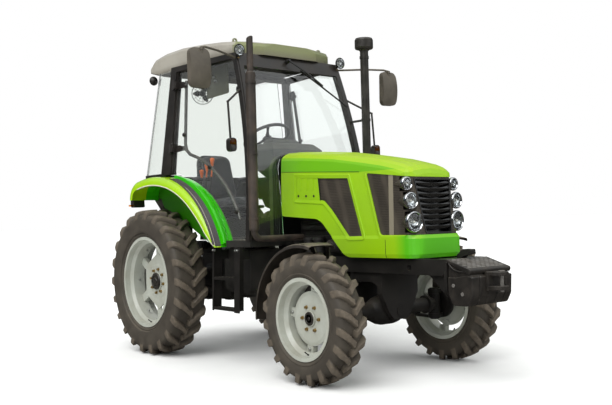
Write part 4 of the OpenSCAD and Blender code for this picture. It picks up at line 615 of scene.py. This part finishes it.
# moulded rubber of the hood's seals and of the seam strip, which is painted shade
seal_and_seam_shade_rubber = finish("seal_and_seam_shade_rubber", "#141312", "#201d1b", 0.6, depth=0.05, dust=0.1)
recess = rounded([(1350, 1421), (1936, 1390), (2084, 930), (1910, 926), (1734, 1124), (1664, 1186), (1348, 1208)],
                 (6, 22, 22, 46, 90, 30, 12), 6)
window = rounded([(1611, 1400), (1922, 1381), (2066, 946), (1922, 944), (1750, 1138), (1636, 1201)],
                 (8, 24, 20, 40, 90, 24), 6)
front_edge = dense([(2092, 1386), (2208, 984), (2214, 970), (2226, 963.5), (2440, 963.5)])
rolled = [(30, 0.1), (20, 1.6), (9, 5.2), (4, 5.6), (1.2, 4.6), (0, 2.4), (-1, -3)]
for side, hand in hands:
    strips = [grid(along_hood(closed_line(dense(recess)), [(-o, h) for o, h in rolled], side)),
              grid(along_hood(front_edge, [(-o, h) for o, h in rolled], side))]
    piece(hand + "_hood_rolled_edges", strips, lime_enamel, "hood", 50)
    # rubber beads round the windows and three blind screws; a dark strip in the panel seam is painted shade, and one
    # more runs down the front band
    bead = [(3, -3), (3, 0.4), (0, 1.2), (-3, 0.4), (-3, -6)]
    beads_and_seam_shade = [grid(along_hood(closed_line(dense(window)), bead, side)),
             grid(along_hood(dense([(1206, 1445.5), (1600, 1423.5), (2026, 1398.5)]),
                             [(2, -1), (1.6, 0.5), (-1.6, 0.5), (-2, -1)], side)),
             grid(along_hood(dense([(2262, 815), (2262, 960)]), [(1.6, -1), (1.2, 0.4), (-1.2, 0.4), (-1.6, -1)],
                             side))]
    for x, z in ((1396, 1257), (1480, 1253), (1563, 1250)):
        spot = at(x, side * (hood_half_width(x, z) - 3.5), z)
        beads_and_seam_shade += [turned([(9, 0), (9, 2.5), (6, 4), (0, 4)], spot, (0, side, 0.0), 16)]
    piece(hand + "_hood_seals_and_seam_shade", beads_and_seam_shade, seal_and_seam_shade_rubber, "hood")


def mesh_pattern_and_shade(tree, place, shade):
    """Diamond pattern of expanded metal, with its openings between the strands painted dark as the shade behind the
    mesh.
    """
    spread = add(tree, "Mapping", {"Vector": place, "Scale": (1.0, 1.0, 0.6)})
    cells = add(tree, "TexVoronoi", {"Vector": spread.outputs[0], "Scale": 150.0, "Randomness": 0.0},
                feature="DISTANCE_TO_EDGE")
    # painted shade: the openings between the strands darken the powder coat
    strand_and_opening_shade = ramp(tree, cells.outputs[0], (0.1, "#ffffff"), (0.3, "#5a5650"))
    shade = add(tree, "MixRGB", {"Fac": 1.0, "Color1": shade, "Color2": strand_and_opening_shade}, blend_type="MULTIPLY").outputs[0]
    # plain pressed strip that carries the lamp pods
    strip_x, strip_half = 1.178, 0.02
    off = maths(tree, "ABSOLUTE", maths(tree, "SUBTRACT", coordinate(tree, place, "X"), strip_x))
    return mixed(tree, maths(tree, "LESS_THAN", off, strip_half), shade, "#7d7563")


# expanded steel mesh in brown-black powder coat; its openings are painted dark as shade
dress("mesh_dark", finish("expanded_steel_mesh", "#3d362d", "#494136", 0.55, patch=150, grain=3.0,
                          depth=0.3, tint=mesh_pattern_and_shade))
# glossy black ABS slats
dress("grille_black", finish("gloss_abs_black", "#121212", "#191918", 0.22, patch=90, grain=1.2,
                             depth=0.01, coat=0.3))

# vacuum-plated chrome of the lamp rims and their bowls
chrome = finish("vacuum_chrome", "#d4d6d8", "#c2c4c7", 0.1, patch=40, depth=0.0, metal=1.0)
# moulded clear lenses
lens_clear = clear("polycarbonate_lens", "#f7fafa", 0.05)
# frosted glass of the bulbs
lamp_glow = finish("lamp_bulb_glass", "#f4efe2", "#fffaf0", 0.25, patch=8, grain=0.6, depth=0.0)


def lamp(centre, direction, r, depth):
    """Round lamp of radius `r`: chrome rim and bowl, bulb with its cap, and a clear lens with a raised middle."""
    rim = turned([(r - 13, -9), (r - 11.5, -3), (r - 8, 0.8), (r - 4, 0), (r - 1.2, -5), (r, -12), (r, -20),
                  (r - 3, -depth + 4), (r - 12, -depth)], centre, direction, 48)
    bowl = turned([(r - 12.6, -9), (r * 0.72, -11), (r * 0.68, -14), (r * 0.62, -17), (r * 0.5, -21),
                   (r * 0.34, -24.5), (r * 0.16, -26.5), (0.0, -27)], centre, direction, 48)
    bulb = turned([(0, -26), (r * 0.1, -26), (r * 0.12, -20), (r * 0.12, -14), (r * 0.07, -11), (0, -10.5)],
                  centre, direction, 20)
    lens = turned([(r - 13.4, -8.6), (r - 20, -7), (r * 0.5, -5.8), (r * 0.2, -5), (0, -4.8)], centre, direction, 48)
    back = turned([(r - 13.4, -9.2), (r - 20, -8), (r * 0.5, -7), (0, -6.2)], centre, direction, 48)
    lens_closed = (np.concatenate([lens[0].reshape(-1, 3), back[0].reshape(-1, 3)]),
                   lens[1] + [[k + lens[0].reshape(-1, 3).shape[0] for k in face] for face in back[1]])
    return [(*rim, 0), (*bowl, 0), (*bulb, 1)], lens_closed


bowls, lenses = [], []
for side in (-1, 1):
    for back, across, height, radius in ((68, 229, 1297, 46), (39, 223, 1185, 57), (27, 210, 1047, 70)):
        turn = math.radians(5)
        aim = (math.cos(turn), side * math.sin(turn), 0.0)
        made = lamp(at(nose_x - back, side * across, height), aim, radius, 30)
        bowls += made[0]
        lenses.append(made[1])
piece("headlight_bowls", bowls, [chrome, lamp_glow], "hood", 50, ["headlights"])
piece("headlight_lenses", lenses, lens_clear, "hood", 50)


# ----------------------------------------------------------------------- cab
# Welded frame of rolled sections in black enamel, a moulded roof, glued glass
# and frameless glass doors on tube frames.
# black powder coat on the cab's frame and doors
dress("cab_black", finish("powder_coat_black", "#1a1715", "#26211d", 0.4, patch=140, grain=0.9, depth=0.04,
                          coat=0.15, dust=0.12))


def roof_shade_and_edge(tree, place, shade):
    """Painted shade on the roof: its front face a darker olive and its underside dark; the skin also turns browner
    towards its lower edge.
    """
    # painted shade: the front face turns a darker olive
    shade = mixed(tree, scaled(tree, facing(tree, "X"), 0.45, 0.75), shade, "#7c8058")
    shade = mixed(tree, scaled(tree, coordinate(tree, place, "Z"), 2.44, 2.38, 0.0, 0.8), shade, "#6a6455")
    # painted shade: the underside turns dark
    return mixed(tree, scaled(tree, facing(tree, "Z"), -0.5, -0.9), shade, "#2b2a22")


# rotation-moulded roof skin, satin warm grey, with painted shade on its front face and underside
dress("roof_grey", finish("roof_polyethylene", "#a39e93", "#989287", 0.36, patch=260, grain=1.4,
                          depth=0.05, coat=0.2, tint=roof_shade_and_edge))
# rubber mat over the floor and tub
dress("floor_black", finish("floor_rubber_mat", "#181817", "#24221f", 0.65, patch=90, grain=3.0, depth=0.3,
                            dust=0.3))


def cowl_tint(tree, place, shade):
    """Ahead of the bulkhead the cowl is the black rubber bellows."""
    bulkhead_x = -0.031
    return mixed(tree, maths(tree, "GREATER_THAN", coordinate(tree, place, "X"), bulkhead_x), shade, "#121211")


# grained ABS of the bulkhead cover
dress("cowl_olive", finish("cowl_abs_olive", "#3d4626", "#343c21", 0.42, patch=120, grain=1.2,
                           tint=cowl_tint))
# laminated windscreen
dress("front_glass", clear("laminated_glass", "#fafdfd"))
# toughened glass of the doors and sides
dress("side_glass", clear("toughened_glass", "#fafdfa"))

# wiper on the windscreen: spindle, sprung arm and blade with its rubber
wiper_plastic = finish("wiper_acetal_black", "#161514", "#24211e", 0.45, patch=40, grain=0.8, depth=0.03)
pivot, tip = at(1022, -40, 2352), at(1102, 500, 2010)
screen_out = (1, 0, 0.28)
wiper = [turned([(16, -30), (16, -6), (12, 0), (12, 14), (0, 15)], pivot, screen_out, 20)]
arm_line = smooth_path([pivot + (0.006, 0, 0), pivot * 0.75 + tip * 0.25 + (0.026, 0, 0.0),
                        pivot * 0.45 + tip * 0.55 + (0.02, 0, 0.0)], 20)
wiper.append(swept(bar_section(15, 7), arm_line, turn=screen_out))
blade_line = smooth_path([pivot * 0.82 + tip * 0.18 + (0.01, 0, -0.012), (pivot + tip) / 2 + (0.016, 0, -0.012),
                          tip + (0.008, 0, -0.004)], 24)
wiper.append(swept(bar_section(11, 9), blade_line, turn=screen_out))
piece("windscreen_wiper", wiper, wiper_plastic, "chassis")

# --------------------------------------------------------------- rear fenders
# Pressed fenders in the hood's enamel with a ribbed rubber walkway between the
# outer panel and the step ridge, bolted to the cab's floor.
def fender_painted_shade(tree, place, shade):
    """Painted shade: greener inboard of the walkway, and a darker green on the skin's inner side."""
    walkway_y, inner_y = 0.668, 0.548
    across = maths(tree, "ABSOLUTE", coordinate(tree, place, "Y"))
    # painted shade: green inboard of the walkway, darker green on the inner side
    shade = mixed(tree, maths(tree, "LESS_THAN", across, walkway_y), shade, "#2fb500")
    return mixed(tree, maths(tree, "LESS_THAN", across, inner_y), shade, "#2f7d06")


# the hood's enamel, glossier on the fenders, with painted shade on its inboard band and inner side
fender_enamel = finish("fender_enamel", "#9cc800", "#93be00", 0.3, patch=300, depth=0.01, coat=0.5,
                       tint=fender_painted_shade)
nodes["rear_fenders"].data.materials.clear()
nodes["rear_fenders"].data.materials.append(fender_enamel)
# ribbed rubber strip
walkway_rubber = finish("walkway_rubber", "#2a2629", "#3a3439", 0.5, grain=1.2, dust=0.12)
# extruded PVC edge trim
pale_trim = finish("pale_pvc_trim", "#cfc9bb", "#b9b2a2", 0.5, patch=40, depth=0.05)
# moulded amber lenses of the indicators and reflectors
amber_lens = clear("amber_acrylic", "#ff9a1f", 0.12)
# moulded red lenses of the tail lamps
red_lens = clear("red_acrylic", "#c4160e", 0.12)


def round_arch(radius, degrees):
    """Points (x, z) in millimetres at a radius about the fender arch's centre."""
    arch_x, arch_z = 130, 600
    angle = np.radians(degrees)
    return arch_x + radius * np.cos(angle), arch_z + radius * np.sin(angle)


def arch_strip(side, inner, outer, height, first, last, ribs):
    """Strip on the fender's top between two distances across, its upper face ribbed along the arch."""
    degrees = np.linspace(first, last, 70)
    top = np.interp(degrees, [20, 53, 63, 76, 90, 106], [852, 852, 853, 858, 866, 872])
    across = np.linspace(inner, outer, ribs * 4 + 1)
    wave = height * (0.55 + 0.45 * np.cos(np.arange(ribs * 4 + 1) * np.pi / 2))
    rise = np.concatenate([[-1], wave, [-1]])
    across = np.concatenate([[inner], across, [outer]])
    x, z = round_arch(top[:, None] + rise[None], degrees[:, None])
    return grid(at(x, side * across[None] + 0 * x, z))


for side, hand in hands:
    strips = [arch_strip(side, 666, 716, 4, 20.6, 78, 6), arch_strip(side, 722, 740, 4, 21.5, 78, 2)]
    piece(hand + "_fender_walkway", strips, walkway_rubber, "chassis", 60)
    seam_radius = 854
    x, z = round_arch(seam_radius, np.linspace(21, 78, 60))
    trims = [swept(bar_section(3.4, 4, 0.8), at(x, side * 719, z), turn=(0, side, 0.0))]
    degrees, known = np.linspace(21, 104, 90), [20, 24, 30, 43, 53, 63, 76, 90, 106]
    lip = np.interp(degrees, known, [846, 825, 806, 800, 799, 798, 796, 795, 794])
    out = np.interp(degrees, known, [722, 738, 750, 770, 780, 790, 800, 820, 840])
    x, z = round_arch(lip + 1, degrees)
    trims.append(swept(round_section(5.5, 10), at(x, side * (out - 3), z)))
    piece(hand + "_fender_trim", trims, pale_trim, "chassis")

# ------------------------------------------------------- steps, tank, stacks
# Folded steps and moulded tanks bolted on under the doors. The shielded exhaust
# stands on the right and the air intake with its rain cap on the left, each
# stayed to a front post of the cab.
# rotation-moulded polyethylene tanks
tank_plastic = finish("tank_polyethylene", "#171716", "#23211e", 0.5, patch=120, grain=1.6, depth=0.15, dust=0.2)
dress("tank_black", tank_plastic)
# heatproof silicone paint, browned where it runs hot
dress("exhaust_steel", finish("heatproof_paint", "#2b2622", "#4a3d33", 0.5, patch=110, grain=1.4, dust=0.1))
# blow-moulded intake pipe and cap
dress("intake_black", finish("intake_polyethylene", "#211f1c", "#332f2a", 0.38, patch=90, depth=0.08,
                             dust=0.15))
for side, hand in hands:
    screws = [at(x, side * 700, 868) for x in (872, 893, 1172, 1196)]
    piece(hand + "_step_screws", bolts(screws, (0, side, 0), 14, 7), bright_zinc, "chassis")
# moulded filler caps of the two tanks
caps = []
for side in (-1, 1):
    caps.append(turned([(34, -22), (34, -2), (31, 3), (20, 5), (18, 2), (0, 2)], at(1110, side * 470, 884),
                       (0, 0, 1), 28))
piece("tank_filler_caps", caps, tank_plastic, "chassis")

# ------------------------------------------------------------ lamps, mirrors
# Work lamps in black housings, marker lamps on stalks, tail lamps on the
# fenders, and mirrors on arms clamped to the front posts.
# moulded backs of the mirrors
dress("mirror_black", finish("mirror_polypropylene", "#4b453c", "#5a5348", 0.5, patch=110, depth=0.15,
                             dust=0.25))
# silvered flat glass
mirror_glass = finish("silvered_mirror", "#cfd6da", "#c2cace", 0.03, patch=200, grain=2.0, depth=0.0, metal=1.0)
# glass-filled nylon of lamp housings, the fan and clamps
housing_plastic = finish("lamp_housing_black", "#1a1918", "#282522", 0.45, patch=40, depth=0.08, dust=0.15)
for side, hand in hands:
    outline = rounded([(-79, -137), (77, -133), (77, 137), (-72, 137)], (36, 40, 40, 36), 8)
    pane = slab([(side * u, v) for u, v in outline], at(1112.5, side * 951, 2187), Y, Z, 3, 1)
    piece(hand + "_mirror_glass", [pane], mirror_glass, "chassis")
housings, bowls, lenses = [], [], []
for x, y, z, ahead, size in ((1019, 513, 2387, 1, 48), (-402, 468, 2364, -1, 41)):
    for side in (-1, 1):
        centre, k = at(x, side * y, z), size / 48
        shell, bowl, bulb, lens = (
            turned(np.array(profile) * k, centre, (ahead, 0, 0.0), steps) for profile, steps in (
                ([(0, -38), (16, -38), (24, -32), (40, -16), (47, -6), (48, 2), (45.5, 4), (43, 3), (42.5, -3)], 40),
                ([(43, -2), (38, -9), (28, -19), (14, -27), (0, -29)], 40),
                ([(0, -28), (5, -28), (6, -14), (0, -11)], 16),
                ([(42.8, 0), (36, 1.6), (20, 2.8), (0, 3.2), (0, 1.4), (20, 1), (36, -0.4), (42.8, -1.6)], 40)))
        housings.append(shell)
        bowls += [(*bowl, 0), (*bulb, 1)]
        lenses.append(lens)
for side in (-1, 1):
    housings.append(box_part((932, side * 500 - 7, 2343), (990, side * 500 + 7, 2375), 2))
    housings.append(box_part((-399, side * 468 - 7, 2368), (-379, side * 468 + 7, 2392), 2))
piece("work_lamp_housings", housings, housing_plastic, "chassis", 50, ["work_lamps"])
piece("work_lamp_bowls", bowls, [chrome, lamp_glow], "chassis", 50)
piece("work_lamp_lenses", lenses, lens_clear, "chassis", 50)


def domed(outline, origin, across, upward, rise):
    """Lens bulging from a flat outline: rings shrink to the middle as the rise follows a quarter circle."""
    rings = [placed(outline, origin, across, upward, -2)]
    rings += [placed(outline * math.cos(a), origin, across, upward, rise * math.sin(a))
              for a in np.linspace(0, np.pi / 2, 7)]
    cloud, faces = grid(np.stack(rings), wrap_columns=True)
    return cloud, faces + [list(range(len(outline)))]


ambers, clears, reds = [], [], []
for side in (-1, 1):
    # marker lamp: amber above, clear below
    upper = rounded([(-27, 2), (27, 2), (27, 45), (-27, 45)], (3, 3, 22, 22), 6)
    lower = rounded([(-27, -45), (27, -45), (27, -2), (-27, -2)], (22, 22, 3, 3), 6)
    upper, lower = upper - (0, 23), lower + (0, 23)
    ambers.append(domed(upper, at(1217, side * 727, 1663), Y, Z, 7))
    clears.append(domed(lower, at(1217, side * 727, 1617), Y, Z, 7))
    tail = oblong(46, 22, 8)
    ambers.append(domed(tail, at(-289, side * 731, 1304), (0, -1, 0), (0, 0, 1), 6))
    reds.append(domed(tail, at(-289, side * 731, 1253), (0, -1, 0), (0, 0, 1), 6))
    # reflector under the fender's tail
    strip = oblong(48, 7, 4, 3)
    ambers.append(domed(strip, at(-233, side * 781, 1240), (0, -1, 0), (0, 0, 1), 2))
piece("amber_lenses", ambers, amber_lens, "chassis", 50)
piece("marker_lenses", clears, lens_clear, "chassis", 50)
piece("tail_lenses", reds, red_lens, "chassis", 50)

# ------------------------------------------------------------------ interior
# Sprung seat with foam cushions, dashboard with its binnacle, steering wheel,
# and levers with orange grips, bolted to the cab's floor and bulkhead.
# grained polypropylene of the dashboard
dash_plastic = finish("dash_polypropylene", "#2c302b", "#363a34", 0.5, patch=80, depth=0.18, dust=0.12)
dress("dash_plastic", dash_plastic)
# self-skinned foam of the steering wheel's rim
dress("wheel_black", finish("polyurethane_grip", "#1a1a19", "#262523", 0.45))


def lever_tint(tree, place, shade):
    """Grips are orange; rods and the console below them are black."""
    grip_foot_z = 1.462
    return mixed(tree, maths(tree, "LESS_THAN", coordinate(tree, place, "Z"), grip_foot_z), shade, "#1d1c1a")


# moulded lever grips
dress("lever_orange", finish("lever_grip_orange", "#d8641a", "#b85214", 0.38, patch=30, grain=0.8,
                             depth=0.04, tint=lever_tint))


def weave_tint(tree, place, shade):
    """Woven upholstery: crossing threads a few millimetres apart."""
    weft, warp = (add(tree, "TexWave", {"Vector": place, "Scale": 130.0, "Distortion": 0.4},
                      bands_direction=axis).outputs["Fac"] for axis in "YZ")
    threads = ramp(tree, maths(tree, "MULTIPLY", weft, warp), (0.0, "#8a8a8a"), (0.8, "#ffffff"))
    return add(tree, "MixRGB", {"Fac": 1.0, "Color1": shade, "Color2": threads}, blend_type="MULTIPLY").outputs[0]


# woven cover of the cushions
seat_fabric = finish("woven_polyester", "#34343a", "#43434a", 0.85, patch=50, grain=1.4, depth=0.5, sheen=0.3,
                     tint=weave_tint)
# coated vinyl on the seat's shells, bellows and arm rests
seat_vinyl = finish("seat_vinyl", "#1d1d1f", "#2a2a2c", 0.45, depth=0.2)


def cushion(outline, origin, across, upward, thickness, crown):
    """Foam block from rounded rings: the outline swells to its middle height and the top rises to a crown."""
    rings = []
    for share, scale in ((0, 0.0), (0, 0.5), (0, 0.86), (0.06, 0.95), (0.25, 0.99), (0.5, 1.0), (0.75, 0.985),
                         (0.92, 0.93), (1.0, 0.84), (1.0, 0.6), (1.0, 0.3), (1.0, 0.0)):
        lift = thickness * share + (crown * (1 - scale ** 2) if share == 1.0 else 0)
        rings.append(placed(outline * max(scale, 1e-4), origin, across, upward, lift))
    return grid(np.stack(rings), wrap_columns=True)


def inflate(made, cap):
    """Swell a cushion with the cloth simulation, hold every point within `cap` metres, and smooth it."""
    bpy.context.view_layer.objects.active = made
    remesh = made.modifiers.new("even", "REMESH")
    remesh.mode, remesh.voxel_size = "VOXEL", 0.006
    with bpy.context.temp_override(object=made, active_object=made, selected_objects=[made]):
        bpy.ops.object.modifier_apply(modifier="even")
    rest = np.empty(len(made.data.vertices) * 3, np.float32)
    made.data.vertices.foreach_get("co", rest)
    rest = rest.reshape(-1, 3)
    cloth = made.modifiers.new("foam", "CLOTH")
    cloth.settings.use_pressure, cloth.settings.uniform_pressure_force = True, 4.0
    cloth.settings.effector_weights.gravity = 0
    scene = bpy.context.scene
    for step in range(1, 21):
        scene.frame_set(step)
    shaped = made.evaluated_get(bpy.context.evaluated_depsgraph_get())
    moved = np.empty_like(rest).reshape(-1)
    shaped.data.vertices.foreach_get("co", moved)
    made.modifiers.remove(cloth)
    scene.frame_set(1)
    shift = moved.reshape(-1, 3) - rest
    length = np.linalg.norm(shift, axis=1)[:, None]
    made.data.vertices.foreach_set("co", (rest + shift * np.minimum(1, cap / np.maximum(length, 1e-9))).reshape(-1))
    made.data.update()
    made.data.shade_smooth()


seat_ahead, back_up = (1, 0, 0.06), (-0.17, 0, 0.985)  # the base tips up and the back leans
pad = rounded([(-165, -205), (165, -205), (175, 195), (-175, 195)], (60, 60, 70, 70), 8)
back = rounded([(-190, -190), (190, -190), (150, 200), (-150, 200)], (50, 50, 90, 90), 8)
base_pad = piece("seat_cushion", [cushion(pad, at(132, 0, 1206), (0, -1, 0), seat_ahead, 62, 12)],
                 seat_fabric, "chassis", 60, ())
back_pad = piece("seat_backrest", [cushion(back, at(-136, 0, 1484), (0, 1, 0), back_up, 56, 14)],
                 seat_fabric, "chassis", 60, ())
swell_cap = 0.012  # metres that the foam may move
inflate(base_pad, swell_cap)
inflate(back_pad, swell_cap)
shell_outline = rounded([(-205, -215), (205, -215), (170, 205), (-170, 205)], (50, 50, 100, 100), 8)
frame_parts = [slab(shell_outline, at(-153, 0, 1484), (0, 1, 0), back_up, 24, 8),
               slab(rounded([(-200, -225), (200, -225), (205, 215), (-205, 215)], 60, 8), at(132, 0, 1196),
                    (0, -1, 0), seat_ahead, 24, 8),
               box_part((-70, -170, 1108.5), (310, 170, 1125), 4)]
for k in range(3):
    frame_parts.append(slab(oblong(150, 125, 25, 5), at(115, 0, 1136 + 21 * k), X, Y, 20, 8))
for side in (-1, 1):
    frame_parts.append(slab(rounded([(-120, -22), (150, -20), (160, 25), (-120, 22)], 14, 4), at(0, side * 246, 1462),
                            X, Z, 44, 9))
    arm = [at(-150, side * 205, 1300), at(-135, side * 236, 1380), at(-105, side * 246, 1450)]
    frame_parts.append(swept(bar_section(30, 16, 4), smooth_path(arm, 16)))
piece("seat_frame", frame_parts, seat_vinyl, "chassis", 45, ["seat"])

# coated instrument face with three printed dials and their needles
dial_face = finish("instrument_face", "#15181a", "#1b1f21", 0.25, depth=0.0, coat=0.4)
# white print on the dials
dial_marks = finish("dial_print_white", "#d8dad6", "#c9cbc6", 0.5, patch=30, depth=0.0)
face_at, face_up, face_out = at(791, 0, 1690), (0.35, 0, 0.937), (-0.937, 0, 0.35)
face = rounded([(-112, -30), (112, -30), (105, 34), (-105, 34)], 20, 5)
dials, marks = [slab(face, face_at, (0, -1, 0), face_up, 6, 2)], []
for y in (-60, 0, 60):
    spot = face_at + np.array((-0.0035, y / 1000, 0.0))
    marks.append(turned([(24, -1), (24, 1.5), (21.5, 1.5), (21.5, -1)], spot, face_out, 28))
    needle = np.stack([spot, spot + np.array((0.006, 0.01, 0.016))])
    marks.append(swept(bar_section(2.4, 1.6, 0.5), needle, turn=face_out))
piece("instrument_panel", dials, dial_face, "chassis")
piece("instrument_marks", marks, dial_marks, "chassis")


# --------------------------------------------------------- front weight, jaw
# Cast front weight with a treaded top, scooped hand-holds and a two-plate tow
# jaw with its pin, hooked on the nose plate.
# cast iron under thin black paint
weight_iron = finish("cast_weight_black", "#1a1816", "#2c2722", 0.42, grain=2.4, depth=0.3, dust=0.1)
dress("weight_black", weight_iron)
# the same casting, lighter grey as painted light on the tread pads, bolts, tow pin and its ring
tread_painted_light = finish("lit_tread_casting", "#6b6864", "#4a4742", 0.38, patch=40, grain=1.6, depth=0.15, dust=0.15)
slope = np.array((198, 0, -63.0)) / math.hypot(198, 63)
deck_x, deck_z, deck_width, pad_half = 2741, 811, 397, 19
rise_x, rise_z = 0.303, 0.953  # square to the slope


def deck_at(run, y, lift=0.0):
    """Point on the sloping deck: `run` mm down from its rear edge and `lift` mm above it."""
    return at(deck_x + slope[0] * run + rise_x * lift, y, deck_z + slope[2] * run + rise_z * lift)


parts, pads = [], []
# casting under the deck, its hollow sides and curved foot
core = rounded([(2741, 604), (2782, 528), (2896, 528), (2928, 590), (2931, 700), (2900, 735), (2744, 780)],
               (8, 34, 34, 30, 12, 16, 6), 6)
parts.append(slab([(x - 2840, z - 660) for x, z in core], at(2840, 0, 660), X, Z, 372, 6))
for k in range(-2, 3):
    edge = rounded([(2744, 600), (2780, 526.5), (2900, 526.5), (2933, 590), (2939, 706), (2900, 716), (2800, 700),
                    (2744, 700)], (6, 34, 34, 30, 8, 12, 40, 6), 5)
    parts.append(slab([(x - 2840, z - 620) for x, z in edge], at(2840, k * 80, 620), X, Z, 68, 5))
# deck plate with its bull nose
nose = np.linspace(0.0, np.pi, 9)
section = [(0, 0)] + [(188 + 12 * math.sin(a), -17 + 17 * math.cos(a)) for a in nose] + [(0, -14)]
deck = [deck_at(run, 0, lift) for run, lift in section]
parts.append(slab([((p[0] - deck[0][0]) * 1000, (p[2] - deck[0][2]) * 1000) for p in deck], deck[0],
                  X, Z, deck_width, 2.5))
for row in range(8):
    for column in range(9):
        y = -176 + 44 * column + (11 if row % 2 else -11)
        if abs(y) + pad_half < deck_width / 2:
            pads.append(slab(oblong(8, pad_half, 3, 2), deck_at(16 + 21 * row, y, 0.6),
                             slope, (0, 1, 0), 3.2, 0.8))
for side in (-1, 1):
    # rolled lip of the hand-hold and the cheek below it
    lip = [at(x, side * 193, z) for x, z in ((2750, 806), (2762, 778), (2790, 752), (2830, 738), (2876, 738),
                                            (2918, 746))]
    parts.append(swept(round_section(5.5, 10), smooth_path(lip, 26)))
    pads += bolts([at(x, side * 188, z) for x, z in ((2790, 650), (2860, 600))], (0, side, 0), 22, 9)
# tow plates, web, pin and its ring
plate = rounded([(2925, -60), (2990, -56), (3034, -40), (3040, 0), (3034, 40), (2990, 56), (2925, 60)],
                (4, 16, 22, 14, 22, 16, 4), 5)
for z in (633, 720):
    parts.append(slab([(x - 2980, y) for x, y in plate], at(2980, 0, z), X, Y, 24, 3))
parts.append(box_part((2922, -62, 612), (2952, 62, 733), 4))
pads.append(turned([(0, -3), (12, -3), (12, 122), (0, 123)], at(3008, 0, 612), (0, 0, 1), 20))
pads.append(turned([(12, 0), (21, 0), (22, 2), (22, 7), (20, 9), (0, 9)], at(3008, 0, 731), (0, 0, 1), 24))
piece("front_weight_casting", parts, weight_iron, "chassis", 40, ["front_weights"])
piece("front_weight_tread", pads, tread_painted_light, "chassis", 40, ())
# bolt heads set in the front frame's side rails
fixings = []
for side in (-1, 1):
    outward = (0, side, 0)
    fixings += bolts([at(x, side * 175.5, z) for x, z in ((1870, 770), (1930, 770), (2040, 770), (2100, 770),
                                                          (1330, 745), (1420, 745), (1560, 745), (2350, 745),
                                                          (2600, 745))], outward, 19, 9)
piece("frame_bolts", fixings, bright_zinc, "chassis")

# ------------------------------------------------------------- cab fittings
# Trim panel, cab fan and mirror clamps, screwed to the cab's frame and
# headliner.
# olive ABS of the trim panel under the roof
trim_abs = finish("trim_abs_olive", "#55553a", "#48482f", 0.45, patch=110, grain=1.2)
panel = rounded([(-165, -150), (165, -140), (160, 150), (-160, 150)], 18, 5)
piece("overhead_trim", [slab(panel, at(385, -300, 2280), X, Z, 8, 2)], trim_abs, "chassis")
screws = [at(x, -304, z) for x, z in ((340, 2300), (352, 2268), (378, 2262))]
piece("overhead_screws", bolts(screws, (0, -1, 0), 14, 6), bright_zinc, "chassis")
# wire guard, motor and blades of the fan on its stalk
hub = at(-120, -130, 2238)
aim, first, second = axes((0.80, -0.55, -0.2))
fan, guard = [turned([(0, -42), (26, -40), (30, -30), (30, 0), (20, 14), (0, 17)], hub, aim, 24)], []


def round_fan(a):
    """Direction at an angle about the fan's axis."""
    return math.cos(a) * first + math.sin(a) * second


for a in 2 * np.pi * np.arange(3) / 3:
    spoke, across = round_fan(a), round_fan(a + np.pi / 2)
    rows = []
    for share in np.linspace(0, 1, 7):
        centre = hub + aim * 0.004 + spoke * (0.022 + 0.062 * share)
        tilt = across * math.cos(0.6) + aim * math.sin(0.6)
        wide = 0.012 + 0.018 * math.sin(np.pi * min(share + 0.15, 1))
        face = np.cross(spoke, tilt)
        rows.append([centre - tilt * wide + face * 0.001, centre + tilt * wide + face * 0.001,
                     centre + tilt * wide - face * 0.001, centre - tilt * wide - face * 0.001])
    cloud, faces = grid(np.array(rows), wrap_columns=True)
    fan.append((cloud, faces + [[3, 2, 1, 0], [24, 25, 26, 27]]))
for radius, lift in ((96, 0), (92, 22), (70, 32), (46, 37), (24, 40)):
    angle = np.linspace(0, 2 * np.pi, 48, endpoint=False)[:, None]
    hoop = hub + (radius * (np.cos(angle) * first + np.sin(angle) * second) + lift * aim) / 1000
    guard.append(swept(round_section(1.6 if lift else 3, 6), hoop, closed=True))
for a in 2 * np.pi * np.arange(12) / 12:
    wire = [hub + round_fan(a) * out + aim * lift for out, lift in (
        (0.026, -0.036), (0.088, -0.02), (0.096, 0), (0.09, 0.024), (0.05, 0.036), (0.022, 0.041))]
    guard.append(swept(round_section(1.2, 5), smooth_path(wire, 16)))
fan.append(swept(round_section(7, 10), smooth_path([hub - aim * 0.03, hub + np.array((-0.04, 0.02, 0.04)),
                                                    at(-180, -90, 2345), at(-182, -90, 2382)], 14)))
piece("cab_fan", fan, housing_plastic, "chassis", 45)
piece("cab_fan_guard", guard, bright_zinc, "chassis", 60)
# tube clamps of the mirror arms on the front posts, with their nuts
clamps, nuts = [], []
for side in (-1, 1):
    for z in (2296, 2334):
        clamps.append(turned([(0, -15), (15, -15), (17, -12), (17, 12), (15, 15), (0, 15)], at(968, side * 497, z),
                             (0, 0, 1), 20))
        nuts += bolts([at(985, side * 500, z)], (1, side * 0.2, 0), 13, 7)
piece("mirror_clamps", clamps, housing_plastic, "chassis")
piece("mirror_clamp_nuts", nuts, yellow_zinc, "chassis")
